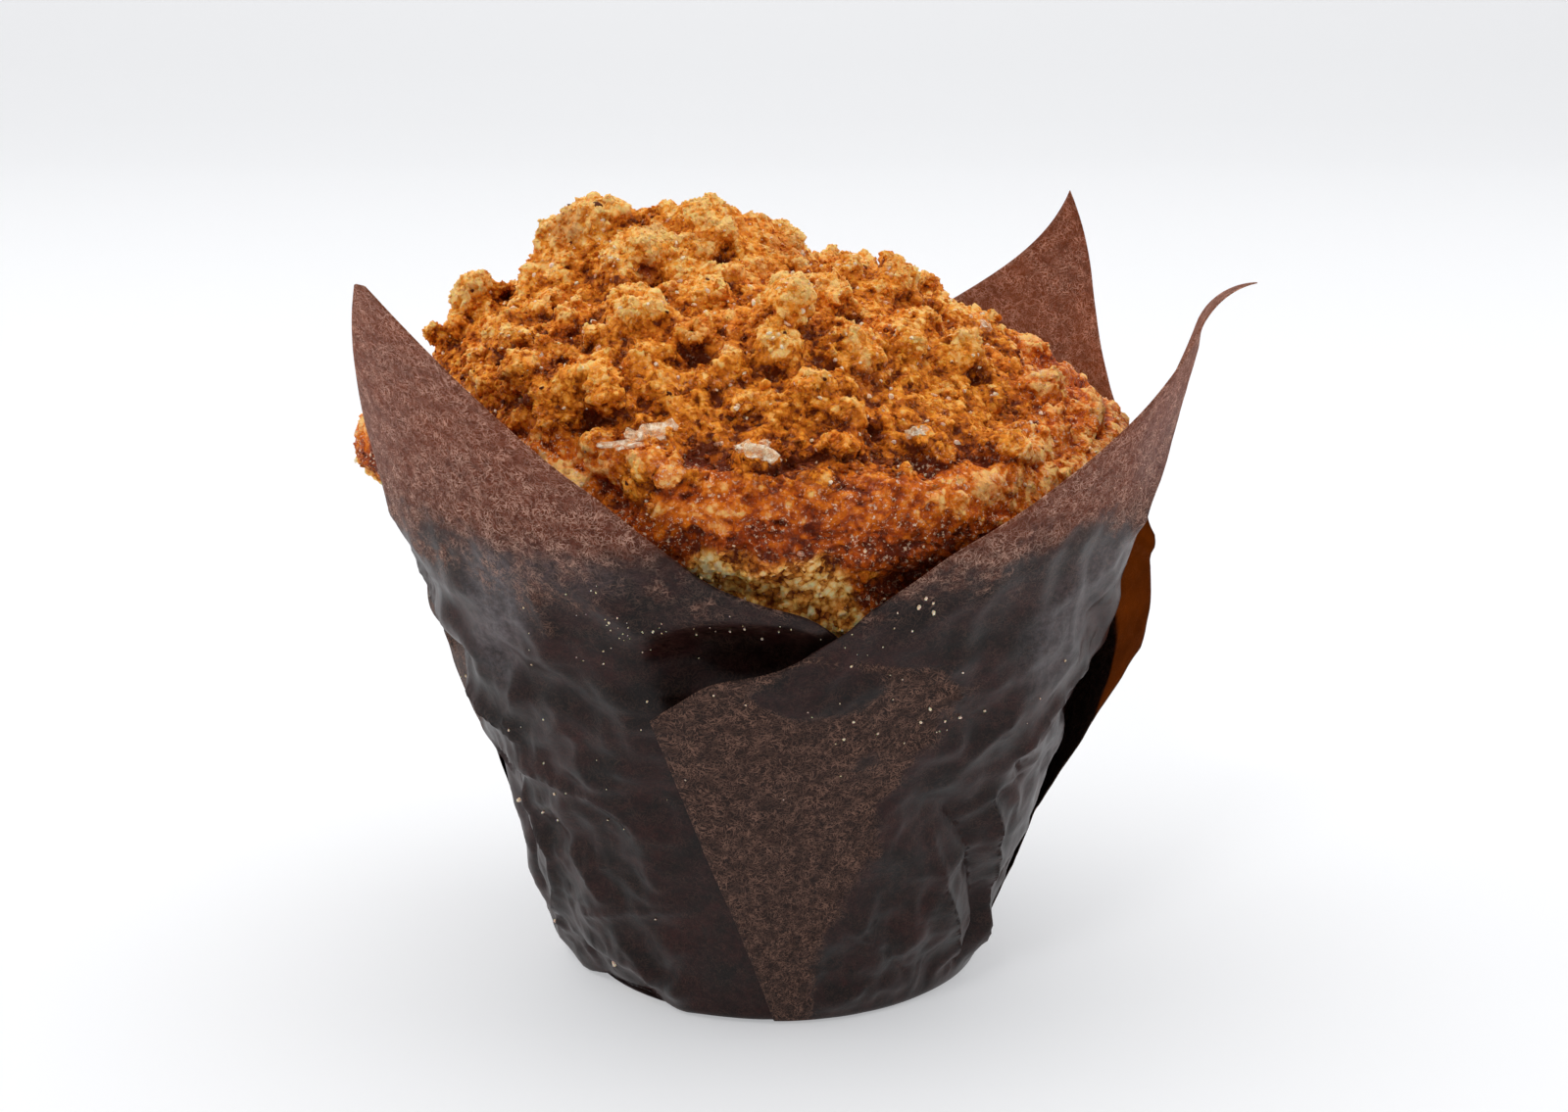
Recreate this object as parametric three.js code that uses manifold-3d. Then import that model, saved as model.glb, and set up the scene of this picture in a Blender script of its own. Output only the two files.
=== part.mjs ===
// A large crumb-topped muffin in a tulip-folded paper case. Millimetres, +Z up.
// The origin is the centre of the case's flat base. Azimuth 0 is the front (-Y) and 90 is the right (+X).
import * as THREE from "three";
import { mergeVertices } from "three/addons/utils/BufferGeometryUtils.js";
import Module from "manifold-3d";

const wasm = await Module();
wasm.setup();

// ---- Driving dimensions ----
const BASE_RADIUS = 25; // flat base of the case
const WALL_SLOPE = 0.334; // outward travel of the lower wall for each mm of height
const FOOT_FLARE = 0.4; // extra radius that the wall gains just above the base fold
const PETAL_SLOPE = 0.18; // outward travel of the petals above the crown's edge
const SHOULDER = [52, 62]; // heights between which the wall turns from one slope to the other
const LEAN = 0.6; // how far the upper wall sits to the left of the base
const LEAN_HEIGHTS = [40, 60];
const PAPER = 0.5; // thickness of the folded paper
const LAYER_STEP = 0.75; // radial step between two overlapping layers
const CAKE_GAP = 0.35; // clearance between cake and paper

// ---- Small helpers ----
const clamp = (x, low, high) => Math.min(high, Math.max(low, x));
const radians = (degrees) => (degrees * Math.PI) / 180;
const mix = (a, b, share) => a + (b - a) * share;

function smooth(from, to, x) {
  const t = clamp((x - from) / (to - from), 0, 1);
  return t * t * (3 - 2 * t);
}

// A seeded stream of numbers from 0 to 1.
function seededRandom(seed) {
  let state = seed;
  return () => {
    state = (Math.imul(state, 1664525) + 1013904223) >>> 0;
    return state / 4294967296;
  };
}

const leanAt = (z) => -LEAN * smooth(LEAN_HEIGHTS[0], LEAN_HEIGHTS[1], z);

// Radius of the outermost paper below the petals' own curls.
function wallRadius(z) {
  const turning = SHOULDER[1] - SHOULDER[0];
  const inTurn = clamp(z - SHOULDER[0], 0, turning);
  const upright = inTurn ** 2 / (2 * turning) + Math.max(0, z - SHOULDER[1]);
  const straight = BASE_RADIUS + WALL_SLOPE * z + (PETAL_SLOPE - WALL_SLOPE) * upright;
  return straight + FOOT_FLARE * (1 - Math.exp(-z / 3));
}

function solidOf(geometry) {
  geometry.deleteAttribute("normal");
  geometry.deleteAttribute("uv");
  const merged = mergeVertices(geometry, 1e-4);
  return new wasm.Manifold(
    new wasm.Mesh({
      numProp: 3,
      vertProperties: merged.attributes.position.array,
      triVerts: new Uint32Array(merged.index.array),
    }),
  );
}

function geometryOf(solid) {
  const mesh = solid.getMesh();
  const geometry = new THREE.BufferGeometry();
  geometry.setAttribute("position", new THREE.BufferAttribute(mesh.vertProperties, 3));
  geometry.setIndex(new THREE.BufferAttribute(mesh.triVerts, 1));
  geometry.computeVertexNormals();
  return geometry;
}

// ---- Paper case ----
// Each petal runs from its left slit edge, which lies outermost, to its right one, which is tucked
// under the next petal. Its top edge rises from both slit corners to the tip. Azimuths are in degrees.
// reach: tip's distance up the wall; blunt: length cut off the tip; flare: extra outward slope;
// curl: how far the last stretch from curlStart turns outward; lift: how far the left edge peels
// away from the layer below. On each side, slit: length of the cut; bend: power of the edge's rise;
// spike and sharp: the part of the rise that is gathered in a point at the tip.
const PETALS = {
  frontRight: {
    left: { base: 0, corner: -19.5, slit: 43, bend: 0.91, spike: 6, sharp: 17 },
    right: { base: 95, corner: 113, slit: 46, bend: 0.75, spike: 6.5, sharp: 5.3 },
    tip: 77,
    reach: 91.2,
    blunt: 0,
    flare: 0.065,
    curlStart: 84.4,
    curl: 112,
    lift: 1.5,
  },
  backRight: {
    left: { base: 86, corner: 70, slit: 44, bend: 0.97, spike: 20, sharp: 7.2 },
    right: { base: 185, corner: 202, slit: 44, bend: 0.74, spike: 7.2, sharp: 7.2 },
    tip: 126.8,
    reach: 91.6,
    blunt: 0,
    flare: 0,
    curlStart: 80,
    curl: -29,
    lift: 5.3,
  },
  backLeft: {
    left: { base: 181, corner: 162, slit: 44, bend: 1.0, spike: 3, sharp: 14 },
    right: { base: 275, corner: 291, slit: 44, bend: 1.6, spike: 3, sharp: 10 },
    tip: 220,
    reach: 76,
    blunt: 0,
    flare: 0.14,
    curlStart: 60,
    curl: 26,
    lift: 1.6,
  },
  frontLeft: {
    left: { base: 271, corner: 252, slit: 44, bend: 1.06, spike: 2, sharp: 3 },
    right: { base: 364, corner: 380, slit: 43.5, bend: 0.77, spike: 14, sharp: 3.2 },
    tip: 310,
    reach: 91.3,
    blunt: 1,
    flare: 0,
    curlStart: 62,
    curl: 15.8,
    lift: 0.5,
  },
};
const LIFT_RISE = [18, 42]; // heights over which a peeled edge leaves the wall
const LIFT_FALL = [46, 68]; // heights over which it comes back
const LIFT_WIDTH = 0.38; // share of a petal's width that peels
const TUCK = [0.36, 0.64]; // share of a petal's width over which it steps from outer to inner layer
const WALL_START = 0.4; // the petals start inside the base ring
const RING_HEIGHT = 1.7;
const PETAL_COLUMNS = 16;
const PETAL_ROWS = 11;
const STEP = 0.5; // arc length between two points of a meridian
const GATHERING = 1.3; // how strongly columns gather towards the tip, where the edge is steepest
const PROBE = 0.01; // step for measuring the surface's directions

// The petal's meridian: radius and height by arc length up from the base.
function meridianOf(petal) {
  const points = [{ r: BASE_RADIUS, z: 0 }];
  for (let s = 0; s < petal.reach + 2; s += STEP) {
    const { r, z } = points[points.length - 1];
    const slope = (wallRadius(z + 0.5) - wallRadius(z)) / 0.5 + petal.flare * smooth(50, 62, z);
    const curled = clamp((s - petal.curlStart) / (petal.reach - petal.curlStart), 0, 1);
    const angle = Math.atan(slope) + radians(petal.curl) * curled;
    points.push({ r: r + STEP * Math.sin(angle), z: z + STEP * Math.cos(angle) });
  }
  return (s) => {
    const place = clamp(s / STEP, 0, points.length - 1.001);
    const low = Math.floor(place);
    const share = place - low;
    return {
      r: mix(points[low].r, points[low + 1].r, share),
      z: mix(points[low].z, points[low + 1].z, share),
    };
  };
}

// Share of the width at which the tip stands.
const tipShare = (petal) =>
  (petal.tip - petal.left.corner) / (petal.right.corner - petal.left.corner);

// Arc length of the top edge at share u of the petal's width.
function topLength(petal, u) {
  const at = tipShare(petal);
  const side = u <= at ? petal.left : petal.right;
  const t = u <= at ? u / at : (1 - u) / (1 - at);
  const plateau = petal.reach - side.slit - side.spike;
  const pointed = side.slit + plateau * t ** side.bend + side.spike * t ** side.sharp;
  return Math.min(pointed, petal.reach - petal.blunt);
}

// A slit edge travels sideways up to its corner and then stays at that azimuth.
const sideAzimuth = (side, s) => mix(side.base, side.corner, clamp(s / side.slit, 0, 1));

// A point of the petal's middle surface.
function petalPoint(petal, meridian, u, s) {
  const azimuth = radians(mix(sideAzimuth(petal.left, s), sideAzimuth(petal.right, s), u));
  const { r, z } = meridian(s);
  const peel = clamp(1 - u / LIFT_WIDTH, 0, 1) ** 2;
  const rising = smooth(LIFT_RISE[0], LIFT_RISE[1], z);
  const falling = 1 - smooth(LIFT_FALL[0], LIFT_FALL[1], z);
  const depth = PAPER / 2 + LAYER_STEP * smooth(TUCK[0], TUCK[1], u);
  const radius = r - depth + petal.lift * peel * rising * falling;
  return new THREE.Vector3(
    leanAt(z) + radius * Math.sin(azimuth),
    -radius * Math.cos(azimuth),
    z,
  );
}

// Columns share the petal's two sides, so that one of them ends in the tip.
function columnShares(petal) {
  const at = tipShare(petal);
  const leftCount = Math.round(PETAL_COLUMNS * at);
  const shares = [];
  for (let i = 0; i <= PETAL_COLUMNS; i++) {
    const onLeft = i <= leftCount;
    const t = onLeft ? i / leftCount : (i - leftCount) / (PETAL_COLUMNS - leftCount);
    const gathered = onLeft ? 1 - (1 - t) ** GATHERING : t ** GATHERING;
    shares.push(onLeft ? at * gathered : mix(at, 1, gathered));
  }
  return shares;
}

function petalSolid(petal) {
  const meridian = meridianOf(petal);
  const columns = columnShares(petal);
  const positions = [];
  const index = [];
  const rowCount = PETAL_ROWS + 1;
  for (const u of columns) {
    for (let j = 0; j <= PETAL_ROWS; j++) {
      const s = mix(WALL_START, topLength(petal, u), j / PETAL_ROWS);
      const point = petalPoint(petal, meridian, u, s);
      const across = petalPoint(petal, meridian, u + PROBE, s).sub(point);
      const along = petalPoint(petal, meridian, u, s + PROBE).sub(point);
      const normal = across.cross(along).normalize();
      for (const side of [0.5, -0.5]) {
        const surface = point.clone().addScaledVector(normal, side * PAPER);
        positions.push(surface.x, surface.y, surface.z);
      }
    }
  }
  const outer = (i, j) => 2 * (i * rowCount + j);
  const inner = (i, j) => outer(i, j) + 1;
  const quad = (a, b, c, d) => index.push(a, b, c, a, c, d);
  for (let i = 0; i < columns.length - 1; i++) {
    for (let j = 0; j < PETAL_ROWS; j++) {
      quad(outer(i, j), outer(i + 1, j), outer(i + 1, j + 1), outer(i, j + 1));
      quad(inner(i, j), inner(i, j + 1), inner(i + 1, j + 1), inner(i + 1, j));
    }
    quad(outer(i, 0), inner(i, 0), inner(i + 1, 0), outer(i + 1, 0));
    const top = PETAL_ROWS;
    quad(outer(i, top), outer(i + 1, top), inner(i + 1, top), inner(i, top));
  }
  const last = columns.length - 1;
  for (let j = 0; j < PETAL_ROWS; j++) {
    quad(outer(0, j), outer(0, j + 1), inner(0, j + 1), inner(0, j));
    quad(outer(last, j), inner(last, j), inner(last, j + 1), outer(last, j + 1));
  }
  const geometry = new THREE.BufferGeometry();
  geometry.setAttribute("position", new THREE.Float32BufferAttribute(positions, 3));
  geometry.setIndex(index);
  return solidOf(geometry);
}

// A closed profile of [radius, height] pairs turned about +Z.
function turned(profile, segments) {
  const points = profile.map(([r, z]) => new THREE.Vector2(r, z));
  return new THREE.LatheGeometry(points, segments).rotateX(Math.PI / 2);
}

// The base disc and the pressed ring where all four petals meet it.
function baseSolid() {
  const inside = BASE_RADIUS - PAPER - LAYER_STEP;
  const profile = [
    [0, 0],
    [BASE_RADIUS - 0.3, 0],
    [wallRadius(0.4), 0.4],
    [wallRadius(RING_HEIGHT) + 0.05, RING_HEIGHT],
    [wallRadius(RING_HEIGHT) - PAPER - LAYER_STEP, RING_HEIGHT],
    [inside, PAPER],
    [0, PAPER],
  ];
  return solidOf(turned(profile, 48));
}

function paperCase() {
  const petals = Object.values(PETALS).map(petalSolid);
  const solid = petals.reduce((all, next) => all.add(next), baseSolid());
  return new THREE.Mesh(
    geometryOf(solid),
    new THREE.MeshStandardMaterial({ color: 0x3a2a26, roughness: 0.55, metalness: 0 }),
  );
}

// ---- Muffin ----
const STEM_SEGMENTS = 56;
const STEM_TOP = 49; // where the stem draws in under the crown
const FOOT = { inset: 1.2, height: 2.5 }; // rounded bottom edge of the cake
const NECK = { radius: 38.6, height: 56.6, tuck: 2.5 };
const CROWN = { x: -0.8, z: 60.5, radius: 42.6, rise: 24.4, drop: 12, detail: 18 };
const MOUND_DRIFT = 6.5; // how much further left the top of the mound sits than the crown's edge
const SADDLE = { height: 0.52, width: 0.16, depth: 1.5 }; // dip between the crust ring and the mound
const BULGE = { azimuth: 263, width: 11, height: 61.5, depth: 6.5, reach: 7.6 }; // crust past a petal
const HEAP = { x: -11.3, y: -1.5, z: 80.5, length: 15.5, width: 13, rise: 9, detail: 10 };
const CLUMPS = { size: 9.5, relief: 3.4 }; // large crumb clumps of the topping
const NUBS = { size: 5, relief: 1.5 }; // small crumbs on the clumps
const TOPPING_FROM = [66, 70]; // heights over which crumb topping takes over from bare crust
const FINEST_DETAIL = 0.06; // facets that stand out by less than this are merged

const stemRadius = (z) => wallRadius(z) - PAPER - LAYER_STEP - CAKE_GAP;

// A number from 0 to 1 that belongs to a cell of a cubic grid.
function cellHash(i, j, k, salt) {
  const mixed = Math.sin(i * 127.1 + j * 311.7 + k * 74.7 + salt * 53.3) * 43758.5453;
  return mixed - Math.floor(mixed);
}

// Rounded lumps packed side by side, one for each cell: 1 on a lump's top, 0 in the creases.
function lumps(point, size, salt) {
  const cell = [point.x, point.y, point.z].map((v) => Math.floor(v / size));
  let nearest = Infinity;
  let second = Infinity;
  for (let i = cell[0] - 1; i <= cell[0] + 1; i++) {
    for (let j = cell[1] - 1; j <= cell[1] + 1; j++) {
      for (let k = cell[2] - 1; k <= cell[2] + 1; k++) {
        const dx = (i + cellHash(i, j, k, salt)) * size - point.x;
        const dy = (j + cellHash(i, j, k, salt + 1)) * size - point.y;
        const dz = (k + cellHash(i, j, k, salt + 2)) * size - point.z;
        const distance = Math.hypot(dx, dy, dz) / size;
        second = Math.min(second, Math.max(distance, nearest));
        nearest = Math.min(nearest, distance);
      }
    }
  }
  return Math.sqrt(clamp(1.6 * (second - nearest), 0, 1));
}

// How far the topping stands out of the smooth mound.
const toppingRelief = (point) =>
  CLUMPS.relief * (lumps(point, CLUMPS.size, 4) - 0.7) +
  NUBS.relief * (lumps(point, NUBS.size, 9) - 0.65);

// Rolls of the crust: long low waves that run round the crown's edge.
function crustRelief(azimuth, z) {
  const long = Math.sin(5 * azimuth + 0.3 * z) + Math.sin(3 * azimuth - 0.7 * z + 1.7);
  const short = Math.sin(13 * azimuth + 0.9 * z + 0.6) + Math.sin(9 * azimuth - 1.4 * z);
  return 0.18 * long + 0.16 * short - 0.3;
}

// Outward push of the crust where it swells past the front left petal.
function bulgeAt(azimuth, z) {
  const apart = Math.abs((azimuth * 180) / Math.PI - BULGE.azimuth + 720) % 360;
  const turn = Math.min(apart, 360 - apart) / BULGE.width;
  const rise = (z - BULGE.height) / BULGE.depth;
  return BULGE.reach * Math.exp(-(turn ** 2) - rise ** 2);
}

// The crown's surface in a direction from its centre.
function crownPoint(direction) {
  const { x, y, z: up } = direction;
  const azimuth = Math.atan2(x, -y);
  const height = up > 0 ? CROWN.rise : CROWN.drop;
  const dip = SADDLE.depth * Math.exp(-(((up - SADDLE.height) / SADDLE.width) ** 2));
  const drift = CROWN.x - MOUND_DRIFT * smooth(0.1, 0.9, up);
  const bare = direction.clone().multiplyScalar(CROWN.radius);
  const point = new THREE.Vector3(bare.x, bare.y, height * up);
  point.addScaledVector(direction, -dip);
  const z = point.z + CROWN.z;
  const covered = smooth(TOPPING_FROM[0], TOPPING_FROM[1], z + 2 * Math.sin(4 * azimuth));
  const relief = mix(crustRelief(azimuth, z), toppingRelief(point), covered);
  point.addScaledVector(direction, relief + bulgeAt(azimuth, z));
  return point.add(new THREE.Vector3(drift, 0, CROWN.z));
}

// The broken heap that stands on the mound, left of the middle.
function heapPoint(direction) {
  const size = new THREE.Vector3(HEAP.length, HEAP.width, HEAP.rise);
  const point = direction.clone().multiply(size);
  const centre = new THREE.Vector3(HEAP.x, HEAP.y, HEAP.z);
  const relief = toppingRelief(point.clone().add(centre));
  return point.addScaledVector(direction, relief).add(centre);
}

// A closed body whose surface is given by a point for every direction.
function bodyFrom(pointFor, detail) {
  const geometry = new THREE.IcosahedronGeometry(1, detail);
  geometry.deleteAttribute("normal");
  geometry.deleteAttribute("uv");
  const merged = mergeVertices(geometry, 1e-5);
  const position = merged.getAttribute("position");
  for (let i = 0; i < position.count; i++) {
    const point = pointFor(new THREE.Vector3().fromBufferAttribute(position, i).normalize());
    position.setXYZ(i, point.x, point.y, point.z);
  }
  return solidOf(merged);
}

function stemSolid() {
  const floor = PAPER + CAKE_GAP;
  const profile = [
    [0, floor],
    [stemRadius(floor) - FOOT.inset, floor],
    [stemRadius(FOOT.height), FOOT.height],
  ];
  for (const z of [20, 40, STEM_TOP]) profile.push([stemRadius(z), z]);
  profile.push([NECK.radius, NECK.height]);
  profile.push([NECK.radius - NECK.tuck, NECK.height + NECK.tuck]);
  profile.push([0, NECK.height + NECK.tuck]);
  const geometry = turned(profile, STEM_SEGMENTS);
  const position = geometry.getAttribute("position");
  for (let i = 0; i < position.count; i++) {
    position.setX(i, position.getX(i) + leanAt(position.getZ(i)));
  }
  return solidOf(geometry);
}

// Single chunks that stand clear of the mound: direction from the crown's centre and radius.
const CHUNKS = [
  { toward: [0.33, -0.06, 0.94], radius: 3.6 },
  { toward: [0.47, -0.1, 0.88], radius: 3.2 },
  { toward: [-0.62, -0.06, 0.78], radius: 3.8 },
  { toward: [-0.76, -0.12, 0.64], radius: 3.2 },
  { toward: [0.2, -0.5, 0.84], radius: 4.2 },
  { toward: [0.36, -0.55, 0.75], radius: 3.6 },
  { toward: [0.03, -0.7, 0.71], radius: 3.6 },
  { toward: [-0.12, -0.56, 0.82], radius: 4.2 },
  { toward: [-0.3, -0.72, 0.63], radius: 3.4 },
  { toward: [-0.48, -0.58, 0.66], radius: 3.8 },
  { toward: [0.62, -0.42, 0.66], radius: 3.0 },
  { toward: [0.24, -0.78, 0.58], radius: 3.2 },
  { toward: [0.6, 0.4, 0.69], radius: 3.8 },
  { toward: [0.3, 0.62, 0.72], radius: 3.8 },
  { toward: [-0.3, 0.66, 0.69], radius: 4.0 },
  { toward: [0.02, 0.78, 0.62], radius: 3.4 },
  { toward: [-0.62, 0.42, 0.66], radius: 3.8 },
];

// One crumb chunk: an icosahedron with its corners pushed in and out.
function chunkSolid({ toward, radius }, random) {
  const seat = crownPoint(new THREE.Vector3(...toward).normalize());
  const stretch = new THREE.Vector3(random(), random(), random());
  stretch.multiplyScalar(0.4).addScalar(0.8);
  const cornerPoint = (direction) => {
    const push = radius * mix(0.82, 1.14, random());
    return direction.multiply(stretch).multiplyScalar(push).add(seat);
  };
  return bodyFrom(cornerPoint, 1);
}

// Coarse sugar shards lying on the crust: direction, size and turn.
const SHARDS = [
  { toward: [-0.26, -0.87, 0.38], size: [5.2, 3.2, 1.6], turn: 12 },
  { toward: [0.0, -0.93, 0.33], size: [4.2, 2.6, 1.6], turn: -20 },
  { toward: [0.62, -0.35, 0.7], size: [2.2, 1.8, 1.6], turn: 35 },
];

function shardSolid({ toward, size, turn }) {
  const outward = new THREE.Vector3(...toward).normalize();
  const seat = crownPoint(outward);
  const upright = new THREE.Vector3(0, 0, 1);
  const facing = new THREE.Quaternion().setFromUnitVectors(upright, outward);
  const geometry = new THREE.BoxGeometry(...size)
    .rotateZ(radians(turn))
    .applyQuaternion(facing)
    .translate(seat.x, seat.y, seat.z);
  return solidOf(geometry);
}

function muffin() {
  const random = seededRandom(20417);
  const parts = [
    stemSolid(),
    bodyFrom(crownPoint, CROWN.detail),
    bodyFrom(heapPoint, HEAP.detail),
    ...CHUNKS.map((chunk) => chunkSolid(chunk, random)),
    ...SHARDS.map(shardSolid),
  ];
  const joined = parts.reduce((all, next) => all.add(next));
  // Chunks can close over a hollow between them: only the outer skin is kept.
  const skins = joined.simplify(FINEST_DETAIL).decompose();
  const outer = skins.reduce((best, next) => (next.volume() > best.volume() ? next : best));
  return new THREE.Mesh(
    geometryOf(outer),
    new THREE.MeshStandardMaterial({ color: 0xb5722a, roughness: 0.8, metalness: 0 }),
  );
}

// ---- The object ----
const group = new THREE.Group();
const pieces = { muffin: muffin(), paper_case: paperCase() };
for (const [name, mesh] of Object.entries(pieces)) {
  mesh.name = name;
  group.add(mesh);
}

export default group;
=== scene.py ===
"""A crumb-topped muffin in its tulip paper case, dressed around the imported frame.

Lengths in this script are millimetres until a mesh is made, which is in metres. Azimuth 0 is the
front (-Y) and 90 the right (+X).
"""

from __future__ import annotations

import logging
import math
from dataclasses import dataclass, field
from enum import Enum
from typing import Mapping, Sequence, TypeVar, Union

import bmesh
import bpy
import numpy as np
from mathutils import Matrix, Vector, noise
from mathutils.bvhtree import BVHTree

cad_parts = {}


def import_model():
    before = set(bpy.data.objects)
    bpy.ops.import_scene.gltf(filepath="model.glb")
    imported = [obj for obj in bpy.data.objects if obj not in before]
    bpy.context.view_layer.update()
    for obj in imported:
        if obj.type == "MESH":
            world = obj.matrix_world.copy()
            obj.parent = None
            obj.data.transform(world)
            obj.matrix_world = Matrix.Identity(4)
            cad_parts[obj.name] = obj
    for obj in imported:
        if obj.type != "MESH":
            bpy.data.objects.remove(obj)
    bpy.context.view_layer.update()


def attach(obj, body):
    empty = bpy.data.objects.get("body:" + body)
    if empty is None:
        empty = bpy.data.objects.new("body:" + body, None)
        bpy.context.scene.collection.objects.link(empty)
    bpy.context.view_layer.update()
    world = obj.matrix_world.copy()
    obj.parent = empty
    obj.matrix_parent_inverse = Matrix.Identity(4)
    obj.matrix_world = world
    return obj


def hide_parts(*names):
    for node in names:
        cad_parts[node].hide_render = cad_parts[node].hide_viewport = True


LOG = logging.getLogger("muffin")
MM = 0.001
BODY = "root"
PAPER_THICKNESS = 0.14
# The crown's middle, and how far outside the rays start that look for the surface.
CROWN_MIDDLE = (-0.8, 0.0, 60.5)
OUTSIDE = 90.0
# Radii at which patterns that go round the case or the crown are laid flat.
CRUMPLE_RADIUS = 34.0
FOLD_RADIUS = 35.0
SHEET_RADIUS = 36.0
CRUST_RADIUS = 42.0

Pair = tuple[float, float]
Triple = tuple[float, float, float]
Colour = tuple[float, float, float, float]
# A share from 0 to 1, for each point of a mesh or in a shader.
Share = TypeVar("Share", np.ndarray, "Value")


class Slot(Enum):
    """Material slots of the record."""

    CRUMB = "baked_crumb"
    PAPER = "case_paper"


class Axis(Enum):
    """How far a field of noise is stretched along x, y and z."""

    EVEN = (1.0, 1.0, 1.0)
    ROUND_THE_CROWN = (3.0, 3.0, 1.0)


# ------------------------
# Numbers
# ------------------------


def smooth(low: float, high: float, x: np.ndarray) -> np.ndarray:
    """Eased step.

    Args:
        low: where the step starts.
        high: where it ends.
        x: values to step.

    Returns:
        0 before low, 1 after high and a smooth rise between them.
    """
    t = np.clip((np.asarray(x, float) - low) / (high - low), 0.0, 1.0)
    return t * t * (3.0 - 2.0 * t)


def mix(first: np.ndarray, second: np.ndarray, share: np.ndarray) -> np.ndarray:
    """Value that lies share of the way from first to second."""
    return first + (second - first) * share


def turn_from(azimuth: np.ndarray, middle: float) -> np.ndarray:
    """Turn from a middle azimuth to others, from -180 to 180 degrees."""
    return (azimuth - middle + 180.0) % 360.0 - 180.0


def azimuth_of(points: np.ndarray) -> np.ndarray:
    """Azimuths in degrees of points, one row each."""
    return np.degrees(np.arctan2(points[:, 0], -points[:, 1]))


def bare_share(crumble: Share, crumb: Share) -> Share:
    """Share of the crust that neither crumble covers nor a tear opens to the crumb."""
    return (1.0 - crumble) * (1.0 - crumb)


def soft_noise(
    points: np.ndarray, size: float, octaves: int = 2, seed: float = 0.0, axis: Axis = Axis.EVEN
) -> np.ndarray:
    """Smooth noise.

    Args:
        points: places, one row each.
        size: width of the largest humps.
        octaves: how many finer layers are added.
        seed: moves the pattern.
        axis: how the humps are stretched.

    Returns:
        About -1 to 1 for each point.
    """
    places = points / (size * np.array(axis.value)) + seed * np.array((1.0, 2.3, -1.7))
    return np.array([noise.fractal(p, 1.0, 2.1, octaves) for p in places.tolist()])


def cell_noise(
    points: np.ndarray, size: float, seed: float = 0.0, metric: str = "DISTANCE"
) -> tuple[np.ndarray, np.ndarray]:
    """Distances inside a pattern of irregular cells.

    Args:
        points: places, one row each.
        size: width of a cell.
        seed: moves the pattern.
        metric: how distance is measured.

    Returns:
        Distance to the nearest cell centre and to the second nearest, as shares of the size.
    """
    places = points / size + seed * np.array((1.3, -2.1, 0.7))
    found = [noise.voronoi(p, distance_metric=metric)[0][:2] for p in places.tolist()]
    pairs = np.array(found)
    return pairs[:, 0], pairs[:, 1]


def shard_noise(points: np.ndarray, size: float, seed: float = 0.0) -> np.ndarray:
    """Relief of broken crystals: every irregular cell is a flat face tilted its own way.

    Args:
        points: places, one row each.
        size: width of a cell.
        seed: moves the pattern.

    Returns:
        About -1 to 1 for each point, with steps between the cells.
    """
    places = points / size + seed * np.array((0.9, 1.7, -1.1))
    centres = np.array([noise.voronoi(p)[1][0] for p in places.tolist()])
    mixed = centres @ np.array(((12.99, 78.23, 37.72), (93.17, 26.65, 61.31), (45.16, 11.74, 83.93)))
    tilts = (np.sin(mixed) * 43758.55) % 1.0 * 2.0 - 1.0
    height = (np.sin(mixed.sum(1)) * 24634.63) % 1.0 * 2.0 - 1.0
    return 0.6 * height + ((places - centres) * tilts).sum(1)


def turned_vectors(count: int, random: np.random.Generator) -> np.ndarray:
    """Random turns.

    Args:
        count: how many.
        random: the seeded source.

    Returns:
        A count x 3 x 3 array of rotation matrices.
    """
    q = random.normal(size=(count, 4))
    q /= np.linalg.norm(q, axis=1, keepdims=True)
    w, x, y, z = q.T
    rows = (
        (1 - 2 * (y * y + z * z), 2 * (x * y - z * w), 2 * (x * z + y * w)),
        (2 * (x * y + z * w), 1 - 2 * (x * x + z * z), 2 * (y * z - x * w)),
        (2 * (x * z - y * w), 2 * (y * z + x * w), 1 - 2 * (x * x + y * y)),
    )
    return np.moveaxis(np.array(rows), 2, 0)


def direction_of(azimuth: np.ndarray, elevation: np.ndarray) -> np.ndarray:
    """Unit vector that points to an azimuth and elevation in degrees."""
    a, e = np.radians(azimuth), np.radians(elevation)
    return np.stack((np.sin(a) * np.cos(e), -np.cos(a) * np.cos(e), np.sin(e)), -1)


# ------------------------
# Meshes
# ------------------------


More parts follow.
